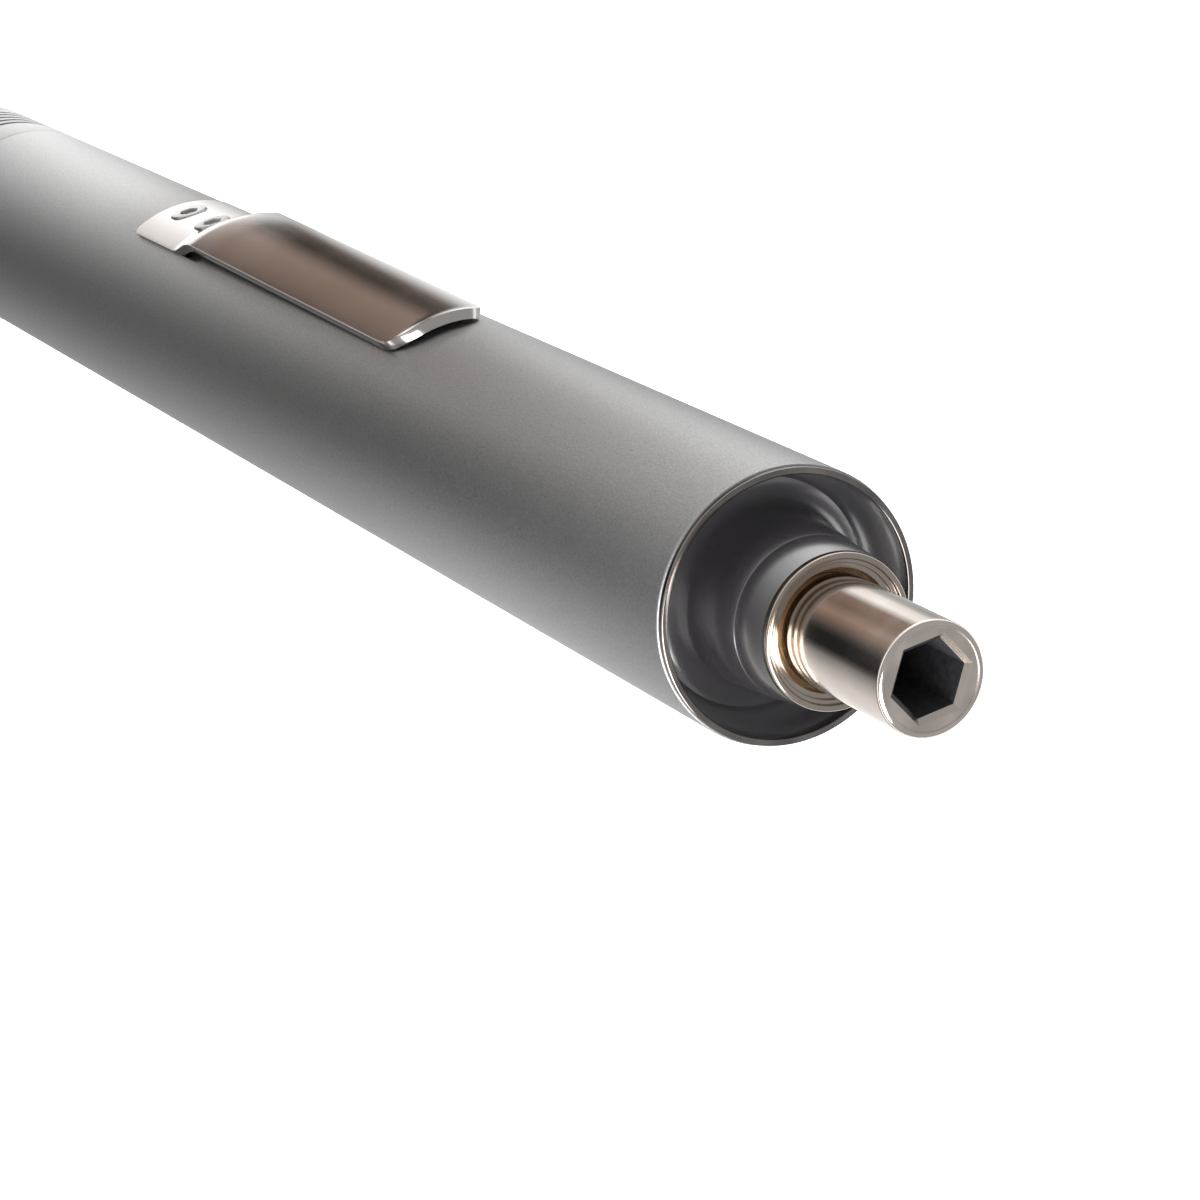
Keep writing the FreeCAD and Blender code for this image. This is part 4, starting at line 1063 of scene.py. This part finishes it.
@dataclass
class TailCap:
    """The screw cap with its grip grooves and threaded neck, its seal and its push button."""

    foot_edge: float = 0.0003
    top_edge: float = 0.00015
    crown: float = 0.005
    crown_depth: float = 0.0016
    button_hole: float = 0.00445
    cap_wall: float = 0.003
    bore: float = 0.0055
    collar: float = 0.0064
    core: float = 0.0061
    seal_floor: float = 0.00585
    seal_rise: float = 0.0006
    seal_width: float = 0.0008
    lead: float = 0.0004
    groove_count: int = 5
    groove_rise: float = 0.004
    groove_pitch: float = 0.0016
    groove_width: float = 0.0007
    groove_depth: float = 0.0003
    groove_edge: float = 0.00008
    thread_pitch: float = 0.001
    thread_turns: int = 7
    thread_steps: int = 64
    thread_rise: float = 0.0022
    thread_ridge: tuple[float, ...] = (0.0, 0.32, 0.44, 0.76)
    thread_root: float = 0.00605
    thread_crest: float = 0.00638
    seal_slack: float = 1.0001
    button_edge: float = 0.00025
    button_play: float = 0.00005
    button_middle: float = 0.45
    button_flange: float = 0.0008

    def build(self) -> None:
        """Build the cap, its seal and its button, and dress them."""
        self.cap()
        self.seal()
        self.button()

    def cap(self) -> None:
        """The cap with its neck and the thread on the neck."""
        cap, top = span("tail_cap"), span("barrel").low
        outer = span("barrel").radius
        seal_low = top + self.seal_rise
        seal_high = seal_low + self.seal_width
        wire = Outline(self.crown, cap.low).to(outer, cap.low, self.foot_edge, 5)
        for index in range(self.groove_count):
            low = cap.low + self.groove_rise + index * self.groove_pitch
            high = low + self.groove_width
            (wire.to(outer, low, self.groove_edge).to(outer - self.groove_depth, low)
             .to(outer - self.groove_depth, high).to(outer, high, self.groove_edge))
        (wire.to(outer, top, self.top_edge)
         .to(self.collar, top)
         .to(self.collar, seal_low)
         .to(self.seal_floor, seal_low)
         .to(self.seal_floor, seal_high)
         .to(self.collar, seal_high)
         .to(self.collar, seal_high + self.seal_rise, self.top_edge)
         .to(self.core, seal_high + self.seal_rise)
         .to(self.core, cap.high, self.lead)
         .to(self.bore, cap.high)
         .to(self.bore, cap.low + self.cap_wall)
         .to(self.button_hole, cap.low + self.cap_wall)
         .to(self.button_hole, cap.low + self.crown_depth)
         .to(self.crown, cap.low + self.crown_depth)
         .close())
        mesh = wire.spun()
        thread = bmesh.new()
        self.thread(thread, top + self.thread_rise + self.seal_rise)
        ridge = bpy.data.meshes.new("thread")
        thread.to_mesh(ridge)
        thread.free()
        mesh.from_mesh(ridge)
        bpy.data.meshes.remove(ridge)
        workshop.fit(piece_from(mesh, "tail_cap_body"), Body.CAP, Slot.BLASTED, "tail_cap")

    def thread(self, mesh: bmesh.types.BMesh, low: float) -> None:
        """Wind the thread's ridge round the neck.

        Args:
            mesh: An empty mesh, which gets the ridge.
            low: The height that the ridge starts at.
        """
        root, crest = self.thread_root, self.thread_crest
        points = [mesh.verts.new((across, 0.0, low + self.thread_pitch * share))
                  for across, share in zip((root, crest, crest, root), self.thread_ridge)]
        face = mesh.faces.new(points)
        steps = self.thread_turns * self.thread_steps
        sweep(mesh, [face, *face.edges, *face.verts], math.tau * self.thread_turns, steps,
              climb=self.thread_pitch / self.thread_steps)
        log.info("thread: %d turns", self.thread_turns)
        close_up(mesh)
        tidy(mesh)

    def seal(self) -> None:
        """The rubber ring in the neck's groove."""
        low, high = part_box("tail_o_ring")
        cord = (high.z - low.z) / 2
        middle, centre = (low.z + high.z) / 2, high.x - cord
        wire = Outline(centre + cord, middle)
        for across, up in ((centre - cord, middle), (centre + cord, middle)):
            wire.arc(across, up, cord * self.seal_slack, LEFT, 12)
        mesh = wire.spun()
        workshop.fit(piece_from(mesh, "seal_ring"), Body.CAP, Slot.RUBBER, "tail_o_ring")

    def button(self) -> None:
        """The push button in the crown."""
        button = span("tail_button")
        stem = self.button_hole - self.button_play
        flange = button.high - self.button_flange
        wire = (Outline(0.0, button.low)
                .to(stem * self.button_middle, button.low)
                .to(stem, button.low, self.button_edge, 5)
                .to(stem, flange)
                .to(button.radius, flange)
                .to(button.radius, button.high)
                .to(0.0, button.high))
        workshop.fit(piece_from(wire.spun(), "push_button"), Body.BUTTON, Slot.TURNED,
                     "tail_button")


@dataclass
class ReturnSpring:
    """The coil spring that pushes the button back out; the real one shortens as the button goes
    in, this piece keeps its length.
    """

    coil: float = 0.0016
    turns: float = 4.5
    steps: int = 48
    wire_steps: int = 16

    def build(self) -> None:
        """Wind the spring and dress it."""
        low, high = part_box("switch_return_spring")
        wire = high.x - self.coil
        mesh = bmesh.new()
        place = Matrix.Translation((self.coil, 0, low.z + wire)) @ Matrix.Rotation(
            math.pi / 2, 4, "X")
        bmesh.ops.create_circle(mesh, cap_ends=True, radius=wire, segments=self.wire_steps,
                                matrix=place)
        steps = round(self.turns * self.steps)
        climb = (high.z - low.z - 2 * wire) / steps
        sweep(mesh, mesh.verts[:] + mesh.edges[:] + mesh.faces[:], math.tau * self.turns, steps,
              climb=climb)
        close_up(mesh)
        piece = piece_from(tidy(mesh), "return_spring")
        workshop.fit(piece, Body.CAP, Slot.SPRING, "switch_return_spring")
        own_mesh(piece)


class InnerWorks:
    """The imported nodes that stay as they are: the cells, the motor, the switch and the rest."""

    def build(self) -> None:
        """Dress each node that no new piece stands for."""
        slots = {row["node"]: row["material_slot"] for row in frame["record"]["subparts"]}
        for name, node in sorted(frame["nodes"].items()):
            if node.hide_render:
                continue
            slot = Slot(slots[name])
            workshop.paint(node, slot)
            log.info("%s keeps its shape, in %s", name, slot.value)


# The studio.


@dataclass(frozen=True)
class Card:
    """A level card that shows only in reflections, toned round the pen's axis.

    Attributes:
        name: Its name.
        reach: How far its near and far edges are from the axis.
        up: Its height.
        tones: Colours, each with its azimuth in degrees from -180 to 180.
        ends: The azimuths of its two sides, in degrees.
    """

    name: str
    reach: tuple[float, float]
    up: float
    tones: tuple[tuple[float, Colour], ...]
    ends: tuple[float, float] = (-180.0, 180.0)

    def build(self) -> None:
        """Build the card and tone it."""
        mesh = bmesh.new()
        points = [mesh.verts.new((reach, 0.0, self.up)) for reach in self.reach]
        mesh.edges.new(points)
        first, last = (math.radians(end) for end in self.ends)
        bmesh.ops.rotate(mesh, cent=(0, 0, 0), verts=points, matrix=Matrix.Rotation(first, 3, "Z"))
        sweep(mesh, mesh.verts[:] + mesh.edges[:], last - first, SMALL_STEPS)
        card = piece_from(mesh, self.name)
        card.visible_camera = card.visible_shadow = card.visible_diffuse = False
        board = Board(self.name)
        around = board.add("ShaderNodeTexGradient", gradient_type="RADIAL")
        board.join(board.place, around.inputs["Vector"])
        ramp = board.add("ShaderNodeValToRGB")
        board.join(around.outputs["Fac"], ramp.inputs["Fac"])
        elements = ramp.color_ramp.elements
        for index, (azimuth, colour) in enumerate(self.tones):
            share = (azimuth + 180.0) / 360.0
            element = elements[index] if index < 2 else elements.new(share)
            element.position = share
            element.color = (*colour, 1.0)
        board.fix(Base_Color=grey(0.0), Roughness=1.0, Emission_Strength=CARD_GLOW)
        board.join(ramp.outputs["Color"], board.shader.inputs["Emission Color"])
        card.data.materials.append(board.material)


def grey(tone: float) -> Colour:
    """A neutral colour."""
    return (tone, tone, tone)


def warm(tone: float) -> Colour:
    """A brown colour of about the same tone."""
    return (tone * 1.3, tone * 0.95, tone * 0.78)


BARREL_TONES = (
    (-180, grey(0.38)), (180, grey(0.38)), (-150, grey(0.44)), (-118, grey(0.5)),
    (-104, grey(0.42)), (-84, grey(0.38)), (-64, grey(0.84)), (-44, grey(1.5)),
    (-24, grey(1.45)), (-4, grey(1.05)), (16, grey(0.7)), (36, grey(0.36)), (56, grey(0.17)),
    (76, grey(0.07)), (96, grey(0.08)), (116, grey(0.17)), (136, grey(0.26)), (156, grey(0.31)),
)


@dataclass(frozen=True)
class Lamp:
    """A soft square lamp that points at the nose.

    Attributes:
        name: Its name.
        off: Where it hangs from the middle of the rim.
        size: The length of its sides.
        power: Its power in watts.
        glossy: Whether it shows in reflections.
    """

    name: str
    off: Colour
    size: float
    power: float
    glossy: bool

    def build(self, rim: Vector) -> None:
        """Hang the lamp."""
        data = bpy.data.lights.new(self.name, "AREA")
        data.size, data.energy = self.size, self.power
        lamp = bpy.data.objects.new(self.name, data)
        place = rim + Vector(self.off)
        lamp.location = place
        lamp.rotation_euler = (rim - place).to_track_quat("-Z", "Y").to_euler()
        lamp.visible_glossy = self.glossy
        bpy.context.scene.collection.objects.link(lamp)


@dataclass
class Studio:
    """The floor, the lights, the cards and the camera."""

    floor_size: float = 6.0
    floor_glow: float = 0.85
    floor_tones: tuple[float, float] = (0.93, 0.95)
    floor_grain: float = 0.4
    floor_rough: float = 0.9
    sky: Colour = (0.97, 0.97, 1.0)
    sky_glow: float = 0.48
    lens: float = 119.12
    sensor: float = 36.0
    camera_off: Colour = (0.087315, 0.090121, 0.19399)
    camera_turn: Colour = (-15.780, -26.349, -103.851)
    lens_range: tuple[float, float] = (0.01, 20.0)
    lamps: tuple[Lamp, ...] = (
        Lamp("key_light", (-0.3, -0.1, 0.35), 0.2, 1.6, False),
        Lamp("side_light", (-0.206, 0.264, 0.372), 0.42, 4.2, True),
    )
    cards: tuple[Card, ...] = (
        Card("near_card", (0.009, 0.08), 0.00015, BARREL_TONES),
        Card("tube_card", (0.08, 0.15), 0.00015,
             ((-180, grey(0.8)), (180, grey(0.8)), (-150, grey(0.95)), (-118, grey(0.44)),
              (-104, grey(0.4)), (-84, grey(0.32)), (-72, grey(0.45)), (-62, grey(0.8)),
              (-44, grey(0.95)), (-35, grey(0.55)), (-27, warm(0.18)), (-4, warm(0.13)),
              (16, warm(0.22)), (36, warm(0.1)), (48, grey(0.03)), (58, grey(0.0)),
              (80, grey(0.0)), (88, grey(0.06)), (96, grey(0.2)), (116, grey(0.44)),
              (136, grey(0.63)), (156, grey(0.7)))),
        Card("far_card", (0.15, 0.4), 0.00015, BARREL_TONES),
        Card("clip_card", (0.026, 0.056), 0.03,
             ((-92, grey(1.2)), (14, warm(0.08)), (-80, grey(0.95)), (-68, grey(0.55)),
              (-58, warm(0.08)), (-44, warm(0.02)), (-26, warm(0.22)), (-8, warm(0.18))),
             (-92, 14)),
    )

    def build(self) -> None:
        """Set up the studio."""
        self.floor()
        self.world()
        rim = Vector((0, 0, span("bezel_ring").high))
        for lamp in self.lamps:
            lamp.build(rim)
        for card in self.cards:
            card.build()
        self.camera(rim)

    def floor(self) -> None:
        """The plain pale floor that the pen stands on."""
        mesh = bmesh.new()
        bmesh.ops.create_grid(mesh, x_segments=1, y_segments=1, size=self.floor_size / 2)
        floor = piece_from(mesh, "studio_floor")
        board = Board("pale_floor")
        board.tint(board.noise(self.floor_grain), *map(grey, self.floor_tones))
        board.fix(Roughness=self.floor_rough, Emission_Color=grey(1.0),
                  Emission_Strength=self.floor_glow)
        floor.data.materials.append(board.material)

    def world(self) -> None:
        """Soft light from all round."""
        world = bpy.data.worlds.new("soft_box")
        world.use_nodes = True
        sky = world.node_tree.nodes["Background"]
        sky.inputs["Color"].default_value = (*self.sky, 1.0)
        sky.inputs["Strength"].default_value = self.sky_glow
        bpy.context.scene.world = world
        bpy.context.scene.view_settings.view_transform = "Standard"

    def camera(self, rim: Vector) -> None:
        """The camera, above and beside the nose, looking down along the pen."""
        data = bpy.data.cameras.new("camera")
        data.lens, data.sensor_width = self.lens, self.sensor
        data.clip_start, data.clip_end = self.lens_range
        camera = bpy.data.objects.new("camera", data)
        camera.location = rim + Vector(self.camera_off)
        camera.rotation_euler = Euler([math.radians(turn) for turn in self.camera_turn])
        bpy.context.scene.collection.objects.link(camera)
        bpy.context.scene.camera = camera


def main() -> None:
    """Build the pen from its nose to its tail, then the studio round it."""
    for part in (Barrel(), Nose(), Spindle(), PocketClip(), TailCap(), ReturnSpring(),
                 InnerWorks(), Studio()):
        part.build()
        log.info("%s is done", type(part).__name__)


if __name__ == "__main__":
    main()
